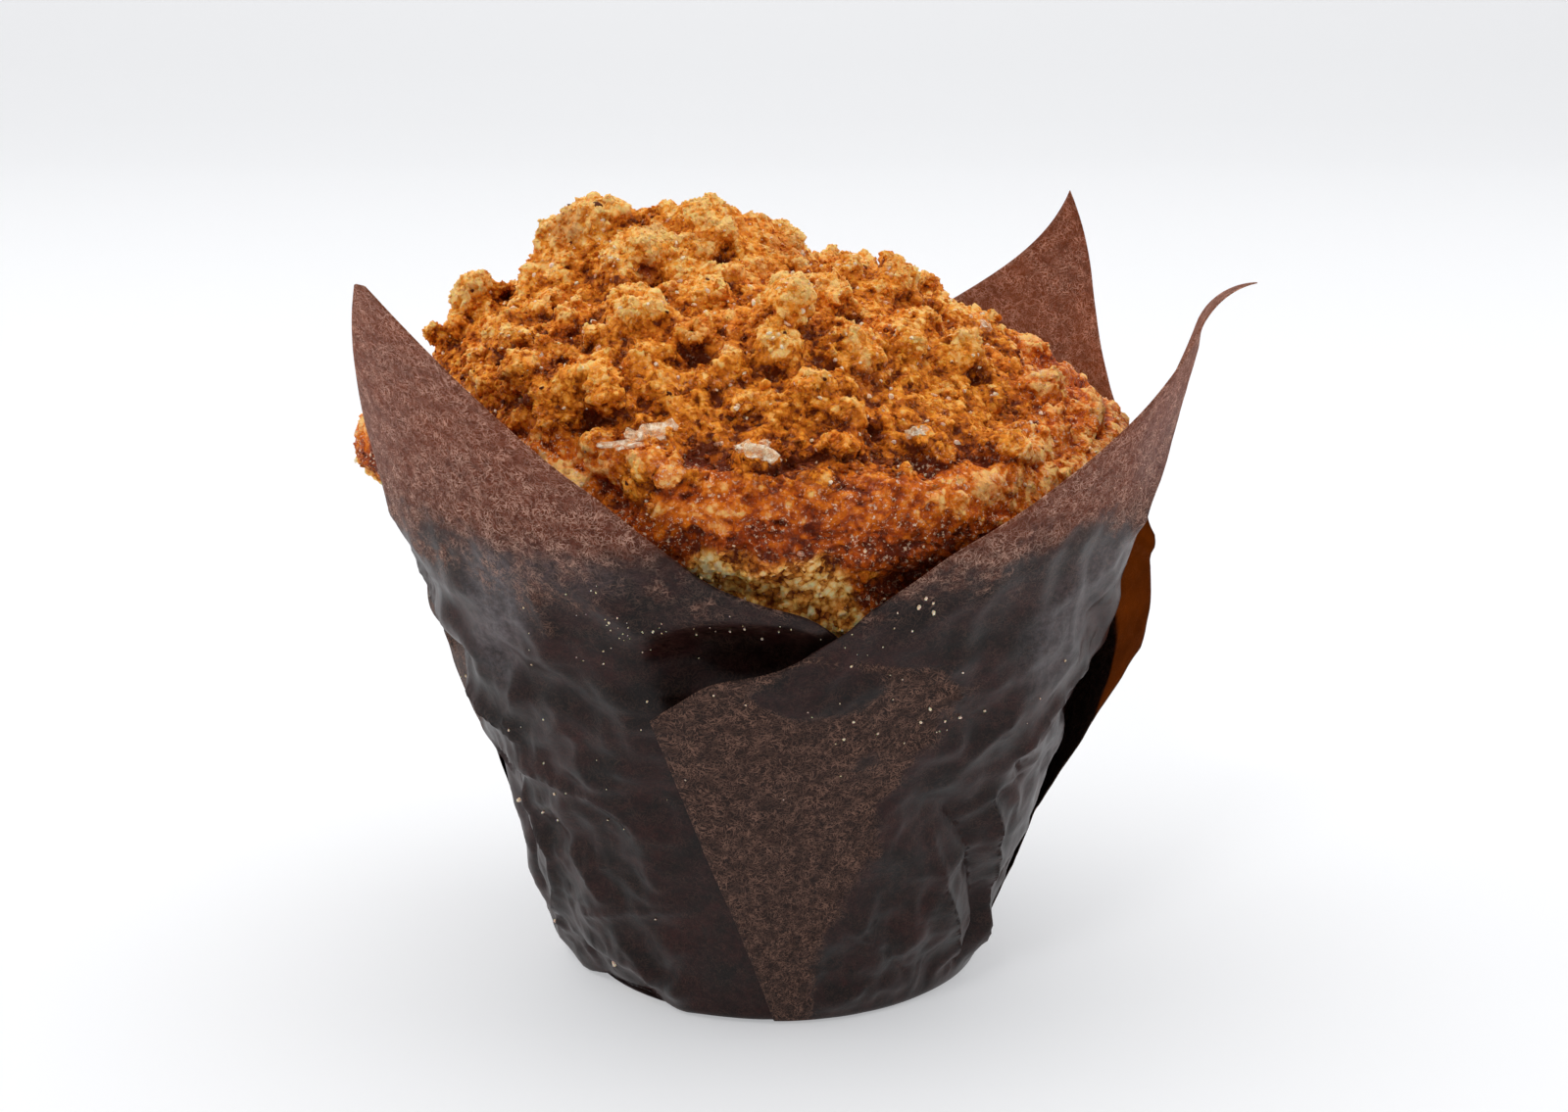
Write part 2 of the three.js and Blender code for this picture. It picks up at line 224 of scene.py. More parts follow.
@dataclass
class Skin:
    """A triangulated surface in millimetres, with a value of each kind for every point."""

    points: np.ndarray
    triangles: np.ndarray
    values: dict[str, np.ndarray] = field(default_factory=dict)

    @classmethod
    def of(cls, mesh: bpy.types.Mesh) -> Skin:
        """Skin with the mesh's points and triangles."""
        mesh.calc_loop_triangles()
        points = np.zeros(len(mesh.vertices) * 3)
        mesh.vertices.foreach_get("co", points)
        triangles = np.zeros(len(mesh.loop_triangles) * 3, np.int32)
        mesh.loop_triangles.foreach_get("vertices", triangles)
        return cls(points.reshape(-1, 3) / MM, triangles.reshape(-1, 3))

    def tree(self) -> BVHTree:
        """Search tree over the triangles, in millimetres."""
        return BVHTree.FromPolygons(self.points.tolist(), self.triangles.tolist())

    def normals(self) -> np.ndarray:
        """Outward unit vector at each point."""
        corners = self.points[self.triangles]
        faces = np.cross(corners[:, 1] - corners[:, 0], corners[:, 2] - corners[:, 0])
        summed = np.zeros_like(self.points)
        for corner in range(3):
            for axis in range(3):
                summed[:, axis] += np.bincount(
                    self.triangles[:, corner], faces[:, axis], len(self.points)
                )
        return summed / np.maximum(np.linalg.norm(summed, axis=1, keepdims=True), 1e-12)

    def relaxed(self, rounds: int, pull: float = 0.6) -> np.ndarray:
        """Points after each has moved part of the way to its neighbours' middle, in rounds."""
        edges = np.concatenate([self.triangles[:, (i, (i + 1) % 3)] for i in range(3)])
        starts, ends = edges[:, 0], edges[:, 1]
        shares = np.maximum(np.bincount(starts, minlength=len(self.points)), 1)
        points = self.points.copy()
        for _ in range(rounds):
            for axis in range(3):
                total = np.bincount(starts, points[ends, axis], len(points))
                points[:, axis] = (1.0 - pull) * points[:, axis] + pull * total / shares
        return points

    def openness(
        self,
        reach: float,
        rays: int,
        random: np.random.Generator,
        stand_off: float = 0.12,
        spread: float = 0.95,
    ) -> np.ndarray:
        """How much of the space over each point is open.

        Args:
            reach: how far is looked.
            rays: in how many directions.
            random: the seeded source.
            stand_off: how far over the skin the look starts.
            spread: how far the directions lean away from straight out.

        Returns:
            0 at the bottom of a narrow pit to 1 on a free face.
        """
        tree, normals = self.tree(), self.normals()
        starts = [Vector(p) for p in (self.points + normals * stand_off).tolist()]
        free = np.zeros(len(self.points))
        for _ in range(rays):
            aims = random.normal(size=self.points.shape)
            aims = normals + spread * aims / np.linalg.norm(aims, axis=1, keepdims=True)
            for index, aim in enumerate(aims.tolist()):
                if tree.ray_cast(starts[index], aim, reach)[0] is None:
                    free[index] += 1.0
        return free / rays

    def scatter(
        self, count: int, density: np.ndarray, random: np.random.Generator
    ) -> tuple[np.ndarray, np.ndarray, dict[str, np.ndarray]]:
        """Random places on the surface.

        Args:
            count: how many.
            density: for each point, how thickly things lie there.
            random: the seeded source.

        Returns:
            The places, the outward unit vectors there and the skin's values there.
        """
        corners = self.points[self.triangles]
        faces = np.cross(corners[:, 1] - corners[:, 0], corners[:, 2] - corners[:, 0])
        area = np.linalg.norm(faces, axis=1)
        weight = area * np.maximum(density, 0)[self.triangles].mean(1)
        chosen = random.choice(len(weight), count, p=weight / weight.sum())
        shares = random.dirichlet((1.0, 1.0, 1.0), count)
        places = (corners[chosen] * shares[:, :, None]).sum(1)
        outward = faces[chosen] / np.maximum(area[chosen, None], 1e-12)
        found = {
            name: (value[self.triangles[chosen]] * shares).sum(1)
            for name, value in self.values.items()
        }
        return places, outward, found


def new_object(name: str, data: bpy.types.ID) -> bpy.types.Object:
    """Object at the origin that holds a mesh, lamp or camera, linked to the scene."""
    piece = bpy.data.objects.new(name, data)
    bpy.context.scene.collection.objects.link(piece)
    return piece


def object_from_bmesh(name: str, shape: bmesh.types.BMesh) -> bpy.types.Object:
    """Smooth-shaded object made from a bmesh, which is freed."""
    mesh = bpy.data.meshes.new(name)
    shape.to_mesh(mesh)
    shape.free()
    mesh.shade_smooth()
    return new_object(name, mesh)


def object_from_skin(name: str, skin: Skin, smooth_shading: bool = True) -> bpy.types.Object:
    """Object made from a skin.

    Args:
        name: the object's name.
        skin: the surface, whose values become attributes.
        smooth_shading: False for the flat faces of crystals.

    Returns:
        The linked object.
    """
    mesh = bpy.data.meshes.new(name)
    mesh.from_pydata((skin.points * MM).tolist(), [], skin.triangles.tolist())
    if smooth_shading:
        mesh.shade_smooth()
    add_values(mesh, skin.values)
    return new_object(name, mesh)


def add_values(mesh: bpy.types.Mesh, values: Mapping[str, np.ndarray]) -> None:
    """Stores each array of values as a point attribute of the mesh."""
    for name, value in values.items():
        attribute = mesh.attributes.new(name, "FLOAT", "POINT")
        attribute.data.foreach_set("value", np.asarray(value, np.float32))


def apply_modifiers(piece: bpy.types.Object) -> None:
    """Replaces the object's mesh by the one that its modifiers make, and removes them."""
    graph = bpy.context.evaluated_depsgraph_get()
    made = bpy.data.meshes.new_from_object(piece.evaluated_get(graph))
    old = piece.data
    piece.modifiers.clear()
    piece.data = made
    bpy.data.meshes.remove(old)


def remesh(piece: bpy.types.Object, voxel: float) -> None:
    """Gives everything in the object's mesh one common skin, with cells of a voxel's width."""
    skinning = piece.modifiers.new("Skin", "REMESH")
    skinning.mode = "VOXEL"
    skinning.voxel_size = voxel * MM
    apply_modifiers(piece)


@dataclass(frozen=True)
class Shape:
    """A small shape that is repeated many times: points within a unit sphere, and triangles."""

    points: np.ndarray
    triangles: np.ndarray

    @classmethod
    def ball(cls, subdivisions: int) -> Shape:
        """Round shape with 20 faces for one subdivision and four times as many for each more."""
        shape = bmesh.new()
        bmesh.ops.create_icosphere(shape, subdivisions=subdivisions, radius=1.0)
        return cls._from(shape)

    @classmethod
    def crystal(cls) -> Shape:
        """Cube with its corners cut off a little."""
        shape = bmesh.new()
        bmesh.ops.create_cube(shape, size=1.5)
        bmesh.ops.bevel(
            shape,
            geom=shape.verts[:],
            offset=0.3,
            affect="VERTICES",
            segments=1,
            profile=0.5,
            material=-1,
        )
        bmesh.ops.triangulate(shape, faces=shape.faces[:])
        return cls._from(shape)

    @classmethod
    def _from(cls, shape: bmesh.types.BMesh) -> Shape:
        """Shape with the bmesh's points and triangles. The bmesh is freed."""
        shape.verts.ensure_lookup_table()
        points = np.array([v.co for v in shape.verts])
        triangles = np.array([[v.index for v in f.verts] for f in shape.faces])
        shape.free()
        return cls(points, triangles)

    def copies(
        self,
        places: np.ndarray,
        sizes: np.ndarray,
        random: np.random.Generator,
        rough: float = 0.15,
        values: Mapping[str, np.ndarray] | None = None,
    ) -> Skin:
        """Many copies joined in one skin, each turned at random and uneven in its own way.

        Args:
            places: centre of each copy.
            sizes: three half widths for each copy.
            random: the seeded source.
            rough: how far the points of a copy move in and out, as a share of its size.
            values: values of each copy, spread over its points.

        Returns:
            The joined skin.
        """
        count, size = len(places), len(self.points)
        push = 1.0 + rough * random.uniform(-1.0, 1.0, (count, size, 1))
        local = self.points[None] * push * sizes[:, None, :]
        turned = np.einsum("nij,nkj->nki", turned_vectors(count, random), local)
        points = (turned + places[:, None, :]).reshape(-1, 3)
        starts = (np.arange(count) * size)[:, None, None]
        triangles = (self.triangles[None] + starts).reshape(-1, 3)
        spread = {name: np.repeat(value, size) for name, value in (values or {}).items()}
        return Skin(points, triangles, spread)


def join_skins(skins: Sequence[Skin]) -> Skin:
    """One skin that holds all of the given ones."""
    starts = np.cumsum([0] + [len(s.points) for s in skins[:-1]])
    points = np.concatenate([s.points for s in skins])
    triangles = np.concatenate([s.triangles + start for s, start in zip(skins, starts)])
    return Skin(points, triangles)


def finish_sheet(sheet: bpy.types.Object, values: Mapping[str, np.ndarray]) -> None:
    """Names a paper sheet's flat map, stores its values and gives it the paper's thickness."""
    sheet.data.uv_layers[0].name = "sheet"
    add_values(sheet.data, values)
    thick = sheet.modifiers.new("Thickness", "SOLIDIFY")
    thick.thickness = PAPER_THICKNESS * MM
    thick.offset = 0.0
    apply_modifiers(sheet)


def dress(piece: bpy.types.Object, material: bpy.types.Material) -> None:
    """Gives a piece its material, lets it ride on the body and reports it."""
    piece.data.materials.clear()
    piece.data.materials.append(material)
    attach(piece, BODY)
    LOG.info("%s: %d faces", piece.name, len(piece.data.polygons))


# ------------------------
# Shader trees
# ------------------------

Number = Union["Value", float]


class Value:
    """A shader socket that takes part in Python arithmetic."""

    def __init__(self, tree: Tree, socket: bpy.types.NodeSocket) -> None:
        """Wraps a socket of the tree."""
        self.tree = tree
        self.socket = socket

    def _math(self, operation: str, first: Number, second: Number) -> Value:
        """Math node on two values."""
        return self.tree.node("ShaderNodeMath", {"operation": operation}, {0: first, 1: second})

    def __add__(self, other: Number) -> Value:
        """This value plus another."""
        return self._math("ADD", self, other)

    def __radd__(self, other: Number) -> Value:
        """Another value plus this one."""
        return self._math("ADD", other, self)

    def __sub__(self, other: Number) -> Value:
        """This value less another."""
        return self._math("SUBTRACT", self, other)

    def __rsub__(self, other: Number) -> Value:
        """Another value less this one."""
        return self._math("SUBTRACT", other, self)

    def __mul__(self, other: Number) -> Value:
        """This value times another."""
        return self._math("MULTIPLY", self, other)

    def __rmul__(self, other: Number) -> Value:
        """Another value times this one."""
        return self._math("MULTIPLY", other, self)

    def sibling(self, name: str) -> Value:
        """Another output of the same node."""
        return Value(self.tree, self.socket.node.outputs[name])

    def largest(self, other: Number) -> Value:
        """The larger of this value and another."""
        return self._math("MAXIMUM", self, other)

    def eased(self, low: float, high: float) -> Value:
        """0 below low, 1 above high and a smooth rise between them."""
        return self.tree.node(
            "ShaderNodeMapRange", {"interpolation_type": "SMOOTHSTEP"}, {0: self, 1: low, 2: high}
        )


def colour(red: int, green: int, blue: int) -> Colour:
    """Linear colour of a display colour from 0 to 255."""

    def linear(value: int) -> float:
        """One channel, from display value to light."""
        share = value / 255.0
        return share / 12.92 if share <= 0.04045 else ((share + 0.055) / 1.055) ** 2.4

    return (linear(red), linear(green), linear(blue), 1.0)


class Tree:
    """A material and the nodes that are put in it."""

    def __init__(self, name: str) -> None:
        """Starts an empty material."""
        self.material = bpy.data.materials.new(name)
        self.material.use_nodes = True
        self.nodes = self.material.node_tree.nodes
        self.links = self.material.node_tree.links
        self.nodes.clear()

    def node(
        self,
        kind: str,
        settings: Mapping[str, object] | None = None,
        inputs: Mapping[int | str, object] | None = None,
        output: int | str = 0,
    ) -> Value:
        """Adds a node.

        Args:
            kind: the node's type.
            settings: its own settings, and the stops of its colour ramp under "stops".
            inputs: values or links for its sockets.
            output: which of its outputs is wanted.

        Returns:
            The wanted output.
        """
        made = self.nodes.new(kind)
        for name, setting in (settings or {}).items():
            if name == "stops":
                self._set_stops(made.color_ramp, setting)
            else:
                setattr(made, name, setting)
        for key, value in (inputs or {}).items():
            if isinstance(value, Value):
                self.links.new(value.socket, made.inputs[key])
            else:
                made.inputs[key].default_value = value
        return Value(self, made.outputs[output])

    @staticmethod
    def _set_stops(ramp: bpy.types.ColorRamp, stops: Sequence[tuple[float, Sequence[float]]]) -> None:
        """Gives a colour ramp its stops, in order."""
        while len(ramp.elements) < len(stops):
            ramp.elements.new(1.0)
        for element, (place, shade) in zip(ramp.elements, stops):
            element.position = place
            element.color = shade

    def attribute(self, name: str) -> Value:
        """Values that are stored on the mesh under a name."""
        return self.node("ShaderNodeAttribute", {"attribute_name": name}, output="Fac")

    def place(self) -> Value:
        """Object coordinates."""
        return self.node("ShaderNodeTexCoord", output="Object")

    def noise(self, place: Value, size: float, detail: float = 2.0, roughness: float = 0.5) -> Value:
        """Noise from 0 to 1 whose humps are size millimetres wide."""
        scale = 1.0 / (size * MM)
        values = {"Vector": place, "Scale": scale, "Detail": detail, "Roughness": roughness}
        return self.node("ShaderNodeTexNoise", None, values)

    def moved(self, place: Value, size: float, by: float) -> Value:
        """Coordinates that wander by some millimetres over humps of a size."""
        values = {"Vector": place, "Scale": 1.0 / (size * MM), "Detail": 1.0}
        drift = self.node("ShaderNodeTexNoise", None, values, "Color")
        middle = {0: drift, 1: (0.5, 0.5, 0.5)}
        drift = self.node("ShaderNodeVectorMath", {"operation": "SUBTRACT"}, middle)
        settings = {"operation": "MULTIPLY_ADD"}
        return self.node("ShaderNodeVectorMath", settings, {0: drift, 1: (by * MM,) * 3, 2: place})

    def facets(self, place: Value, size: float) -> tuple[Value, Value, Value]:
        """Broken crystals of a size in millimetres, every one a flat face tilted its own way.

        Args:
            place: coordinates.
            size: width of a crystal.

        Returns:
            The height of the broken surface, a level from 0 to 1 for each crystal, and how near
            the gap between crystals is.
        """
        values = {"Vector": place, "Scale": 1.0 / (size * MM)}
        middle = self.node("ShaderNodeTexVoronoi", None, values, "Position")
        random = middle.sibling("Color")
        kind = "ShaderNodeVectorMath"
        away = self.node(kind, {"operation": "SUBTRACT"}, {0: place, 1: middle})
        tilt = self.node(kind, {"operation": "SUBTRACT"}, {0: random, 1: (0.5, 0.5, 0.5)})
        slope = self.node(kind, {"operation": "DOT_PRODUCT"}, {0: away, 1: tilt}, "Value")
        length = self.node(kind, {"operation": "LENGTH"}, {0: away}, "Value")
        level = self.node("ShaderNodeSeparateColor", None, {0: random})
        return slope * (2.4 / (size * MM)) + level * 0.5, level, length * (1.0 / (size * MM))

    def ramp(self, factor: Value, stops: Sequence[tuple[float, Sequence[float]]]) -> Value:
        """Colour that a value picks from a ramp."""
        return self.node("ShaderNodeValToRGB", {"stops": stops}, {0: factor})

    def blend(self, first: object, second: object, factor: Number, mode: str = "MIX") -> Value:
        """Mix of two colours."""
        settings = {"data_type": "RGBA", "blend_type": mode}
        return self.node("ShaderNodeMix", settings, {0: factor, 6: first, 7: second}, 2)

    def bump(self, height: Value, depth: float, strength: float = 1.0) -> Value:
        """Normal of a surface whose height varies by depth millimetres."""
        values = {"Height": height, "Distance": depth * MM, "Strength": strength}
        return self.node("ShaderNodeBump", None, values)

    def surface(self, values: Mapping[str, object]) -> Value:
        """Principled shader with values or links for its sockets."""
        return self.node("ShaderNodeBsdfPrincipled", None, values)

    def layered(self, share: Value, first: Value, second: Value) -> Value:
        """Mix of two shaders, with a share of the second."""
        return self.node("ShaderNodeMixShader", None, {0: share, 1: first, 2: second})

    def finish(self, shader: Value) -> bpy.types.Material:
        """Links the shader to the output and returns the material."""
        output = self.nodes.new("ShaderNodeOutputMaterial")
        self.links.new(shader.socket, output.inputs["Surface"])
        return self.material


# ------------------------
# Finishes
# ------------------------


@dataclass(frozen=True)
class Shades:
    """Colours of one kind of crumb, from its hollows to its highest points, picked by a tone that
    carries painted shade and painted light.
    """

    hollow: Colour
    middle: Colour
    light: Colour
    peak: Colour

    def stops(self) -> list[tuple[float, Colour]]:
        """The colours as stops of a ramp."""
        return [(0.13, self.hollow), (0.42, self.middle), (0.66, self.light), (0.92, self.peak)]


@dataclass(frozen=True)
class BakedFinish:
    """Golden crumble, sticky orange-brown crust and pale crumb, by what the mesh says it is."""

    name: str
    crumble: Shades = Shades(
        colour(104, 38, 0), colour(200, 105, 8), colour(244, 154, 44), colour(255, 206, 126)
    )
    crust: Shades = Shades(
        colour(100, 30, 0), colour(178, 73, 2), colour(228, 118, 12), colour(255, 196, 116)
    )
    crumb: Shades = Shades(
        colour(92, 32, 0), colour(208, 124, 40), colour(255, 192, 102), colour(255, 226, 168)
    )
    pale: Colour = colour(255, 232, 204)
    # Pale sugar colour that also stands in for glints: partly sugar crystals, partly painted
    # highlight.
    sugar_glint: Colour = colour(255, 218, 182)
    ripe: Colour = (1.0, 0.8, 0.56, 1.0)
    toasted: Colour = colour(84, 34, 8)
    scorched: Colour = (0.4, 0.17, 0.11, 1.0)
    browned: Colour = (0.72, 0.46, 0.28, 1.0)
    glow: float = 0.34
    glow_depth: float = 0.5
    glow_reach: Triple = (1.0, 0.36, 0.08)
    grain: bool = False

    def make(self) -> bpy.types.Material:
        """Builds the material."""
        tree = Tree(self.name)
        place = tree.place()
        crumble, crumb = tree.attribute("crumble"), tree.attribute("crumb")
        height, inside = tree.attribute("height"), 1.0 - tree.attribute("open")
        patches = tree.noise(place, 9.0, 3.0)
        specks = tree.noise(place, 1.5, 3.0, 0.6)
        fine = tree.noise(place, 0.4, 3.0, 0.65)
        broken, level, gap = tree.facets(tree.moved(place, 1.0, 0.35), 0.78)
        splinters, chip, _ = tree.facets(place, 0.38)
        bare = bare_share(crumble, crumb)
        tone = height + (patches - 0.5) * (0.6 + bare * 0.3) + crumb * 0.13
        tone = tone + (specks.eased(0.3, 0.7) - 0.5) * (0.26 + bare * 0.06 + crumb * 0.1)
        tone = tone + (level - 0.5) * (0.3 + crumb * 0.14 - bare * 0.08) + (chip - 0.5) * 0.16
        # Painted shade: darker in the gaps between crystals.
        tone = tone - (gap - 0.4) * (0.22 + crumb * 0.3)
        # Painted shade: darker where little of the space over a point is open, as in pits and
        # crevices.
        tone = tone - inside * (0.5 - crumb * 0.26 - bare * 0.14)
        if self.grain:
            tone = tone + (tree.attribute("tint") - 0.5) * 0.22
        shade = tree.blend(
            tree.ramp(tone, self.crust.stops()), tree.ramp(tone, self.crumble.stops()), crumble
        )
        shade = tree.blend(shade, tree.ramp(tone, self.crumb.stops()), crumb)
        browning = tree.noise(place, 13.0, 2.0).eased(0.56, 0.7) * (1.0 - crumb) * 0.5
        shade = tree.blend(shade, self.browned, browning, "MULTIPLY")
        ripening = tree.noise(place, 5.5, 2.0).eased(0.5, 0.66) * crumble * 0.5
        shade = tree.blend(shade, self.ripe, ripening, "MULTIPLY")
        scorch = tree.attribute("scorched") * (0.55 + specks.eased(0.3, 0.6) * 0.45)
        shade = tree.blend(shade, self.scorched, scorch, "MULTIPLY")
        if self.grain:
            tint = tree.attribute("tint")
            shade = tree.blend(shade, self.pale, tint.eased(0.94, 0.98) * 0.92)
            shade = tree.blend(self.toasted, shade, tint.eased(0.004, 0.008))
        # Painted highlights: specks of a pale, glossy sugar shader on the sugary glaze stand in for
        # glints, partly real sugar crystals.
        sugary = tree.noise(place, 3.2, 2.0).eased(0.42, 0.6)
        sparks = tree.noise(place, 0.42, 3.0, 0.7).eased(0.575, 0.625) * (0.25 + sugary * 0.75)
        relief = broken * 0.6 + splinters * 0.22 + fine * 0.7 + specks * 0.4
        glow = {
            "Base Color": shade,
            "Subsurface Weight": self.glow,
            "Subsurface Radius": self.glow_reach,
            "Subsurface Scale": self.glow_depth * MM,
        }
        dry = {"Roughness": 0.6, "Specular IOR Level": 0.12, "Normal": tree.bump(relief, 0.34)}
        sticky = {"Roughness": 0.2, "Specular IOR Level": 0.7, "Normal": tree.bump(relief, 0.6)}
        shine = fine.eased(0.5, 0.62) * (bare * 0.7 + crumble * 0.22 + crumb * 0.12)
        baked = tree.layered(shine, tree.surface(glow | dry), tree.surface(glow | sticky))
        sugar = {"Base Color": self.sugar_glint, "Roughness": 0.16, "Specular IOR Level": 0.9}
        sugar["Normal"] = tree.bump(relief, 0.8)
        glints = sparks * (bare * 0.9 + crumble * 0.22 + crumb * 0.16)
        return tree.finish(tree.layered(glints, baked, tree.surface(sugar)))


@dataclass(frozen=True)
class SugarFinish:
    """Clear coarse sugar with a milky heart."""

    name: str
    body: float = 0.26
    clear: Colour = colour(255, 224, 178)
    milky: Colour = colour(255, 244, 220)

    def make(self) -> bpy.types.Material:
        """Builds the material."""
        tree = Tree(self.name)
        cloud = tree.noise(tree.place(), 0.8, 3.0, 0.6)
        ribs = tree.noise(tree.place(), 0.3, 2.0, 0.6)
        milk = cloud.eased(0.42, 0.66)
        values = {
            "Base Color": tree.blend(self.clear, self.milky, milk),
            "Roughness": 0.07 + cloud * 0.16,
            "Specular IOR Level": 0.7,
            "Alpha": self.body + milk * (0.9 - self.body) * 0.9,
            "Normal": tree.bump(cloud + ribs * 0.6, 0.26),
        }
        return tree.finish(tree.surface(values))


@dataclass(frozen=True)
class PaperFinish:
    """Brown baking paper: fibrous where dry, dark and smooth where fat has soaked in."""

    name: str
    dry: Colour = colour(37, 21, 16)
    dry_warm: Colour = colour(88, 47, 34)
    soaked: Colour = colour(32, 11, 10)
    soaked_dark: Colour = colour(12, 3, 2)
    fibre: Colour = colour(136, 100, 84)
    fibre_warm: Colour = colour(218, 174, 152)
    lit_through: Colour = colour(255, 176, 94)
    reddened: Colour = colour(42, 12, 9)
    # Paler bluish grey of the painted sheen, a painted reflection on the soaked paper.
    painted_sheen: Colour = colour(104, 100, 104)
    grain_dark: Colour = (0.6, 0.55, 0.53, 1.0)
    grain_light: Colour = (1.4, 1.36, 1.34, 1.0)
    translucence: float = 0.4
    fibre_layers: int = 6
    fibre_width: float = 0.13
    fibre_length: float = 8.5

    def make(self) -> bpy.types.Material:
        """Builds the material."""
        tree = Tree(self.name)
        flat = tree.node("ShaderNodeUVMap", {"uv_map": "sheet"})
        wet = tree.attribute("soaked")
        warm = tree.attribute("warm")
        edge = tree.noise(flat, 3.0, 4.0, 0.7)
        wet = (wet + (edge - 0.5) * 1.3).eased(0.3, 0.7)
        fibres = self._fibres(tree, tree.moved(flat, 1.6, 1.0))
        cloud = tree.noise(flat, 6.0, 3.0, 0.6)
        mottle = tree.noise(flat, 0.9, 3.0, 0.7)
        clumps = tree.noise(flat, 1.7, 2.0, 0.6).eased(0.3, 0.7)
        dry = tree.blend(self.dry, self.dry_warm, warm)
        soaked = tree.blend(self.soaked_dark, self.soaked, cloud.eased(0.36, 0.62))
        shade = tree.blend(dry, soaked, wet)
        stain = tree.noise(flat, 9.0, 4.0, 0.62)
        shade = tree.blend(shade, self.reddened, stain.eased(0.5, 0.66) * wet * 0.7)
        # Painted sheen: a paler grey laid over the paper in the petal's sheen patches.
        painted_sheen = tree.attribute("painted_sheen") * (0.45 + mottle * 0.8) * (0.5 + edge)
        shade = tree.blend(shade, self.painted_sheen, painted_sheen)
        grain = tree.blend(self.grain_dark, self.grain_light, mottle.eased(0.34, 0.66))
        shade = tree.blend(shade, grain, 0.9, "MULTIPLY")
        pale = tree.blend(self.fibre, self.fibre_warm, warm)
        shade = tree.blend(shade, pale, fibres * (0.2 + clumps * 0.62) * (1.0 - wet * 0.86))
        relief = fibres * 0.5 * (1.0 - wet) + mottle * 0.5
        values = {
            "Base Color": shade,
            "Roughness": 0.66 - wet * 0.3 + (cloud - 0.5) * 0.2 + (mottle - 0.5) * 0.1,
            "Specular IOR Level": 0.19,
            "Normal": tree.bump(relief, 0.07),
        }
        through = tree.node("ShaderNodeBsdfTranslucent", None, {"Color": self.lit_through})
        lit = tree.attribute("free") * self.translucence * (0.62 + cloud * 0.76)
        return tree.finish(tree.layered(lit, tree.surface(values), through))

    def _fibres(self, tree: Tree, flat: Value) -> Value:
        """Short pale fibres that lie in all directions over the sheet."""
        total = None
        for layer in range(self.fibre_layers):
            turn = math.pi * (layer + 0.3) / self.fibre_layers
            mapped = tree.node(
                "ShaderNodeMapping",
                {"vector_type": "TEXTURE"},
                {
                    "Vector": flat,
                    "Location": (0.013 * layer, 0.007 * layer, 0.0),
                    "Rotation": (0.0, 0.0, turn),
                    "Scale": (self.fibre_length, 1.0, 1.0),
                },
            )
            strand = tree.noise(mapped, self.fibre_width, 1.0, 0.5).eased(0.58, 0.7)
            total = strand if total is None else total.largest(strand)
        return total


@dataclass(frozen=True)
class FloorFinish:
    """Plain near-white studio sweep."""

    name: str
    shade: Colour = (0.56, 0.56, 0.565, 1.0)
    near: Colour = (0.372, 0.377, 0.386, 1.0)
    far: Colour = (0.47, 0.475, 0.485, 1.0)

    def make(self) -> bpy.types.Material:
        """Builds the material."""
        tree = Tree(self.name)
        lift = tree.blend(self.near, self.far, tree.attribute("rise"))
        values = {"Base Color": self.shade, "Roughness": 0.6, "Specular IOR Level": 0.2}
        values |= {"Emission Color": lift, "Emission Strength": 1.0}
        return tree.finish(tree.surface(values))


# ------------------------
# Paper case
# ------------------------


@dataclass(frozen=True)
class Wall:
    """The case's wall: where the outermost paper runs below the petals' own curls."""

    base_radius: float = 25.0
    slope: float = 0.334
    petal_slope: float = 0.18
    shoulder: Pair = (52.0, 62.0)
    foot_flare: float = 0.4
    lean: float = 0.6
    lean_heights: Pair = (40.0, 60.0)

    def radius(self, z: np.ndarray) -> np.ndarray:
        """Radius at a height."""
        low, high = self.shoulder
        in_turn = np.clip(z - low, 0.0, high - low)
        upright = in_turn**2 / (2.0 * (high - low)) + np.maximum(0.0, z - high)
        straight = self.base_radius + self.slope * z + (self.petal_slope - self.slope) * upright
        return straight + self.foot_flare * (1.0 - np.exp(-z / 3.0))

    def shift(self, z: np.ndarray) -> np.ndarray:
        """Sideways shift of the wall's middle at a height."""
        return -self.lean * smooth(*self.lean_heights, z)


@dataclass(frozen=True)
class Side:
    """One side of a petal.

    Attributes:
        base: azimuth at the base.
        corner: azimuth at the slit's top.
        slit: arc length at which the slit ends.
        bend: power of the top edge's broad rise towards the tip.
        spike: how much of the rise is left to a narrow spike at the tip.
        sharp: power of the spike.
        bow: how far the side bows between base and slit, in degrees.
    """

    base: float
    corner: float
    slit: float
    bend: float
    spike: float
    sharp: float
    bow: float = 0.0


@dataclass(frozen=True)
class Crease:
    """A fold line in paper or crust, through azimuths and heights. A positive depth stands out."""

    path: tuple[Pair, ...]
    depth: float
    width: float

    def relief(self, azimuth: np.ndarray, z: np.ndarray, radius: float) -> np.ndarray:
        """Height that the fold adds.

        Args:
            azimuth: azimuths in degrees.
            z: heights.
            radius: radius of the surface that it lies on.

        Returns:
            The height outwards for each point.
        """
        first = self.path[0][0]
        place = np.stack((np.radians(turn_from(azimuth, first)) * radius, z), -1)
        corners = [np.array((math.radians(a - first) * radius, h)) for a, h in self.path]
        nearest = np.full(len(z), 1e9)
        for start, end in zip(corners, corners[1:]):
            run = end - start
            t = np.clip(((place - start) @ run) / (run @ run), 0.0, 1.0)
            nearest = np.minimum(nearest, np.hypot(*(place - start - t[:, None] * run).T))
        return self.depth * np.exp(-nearest / self.width)


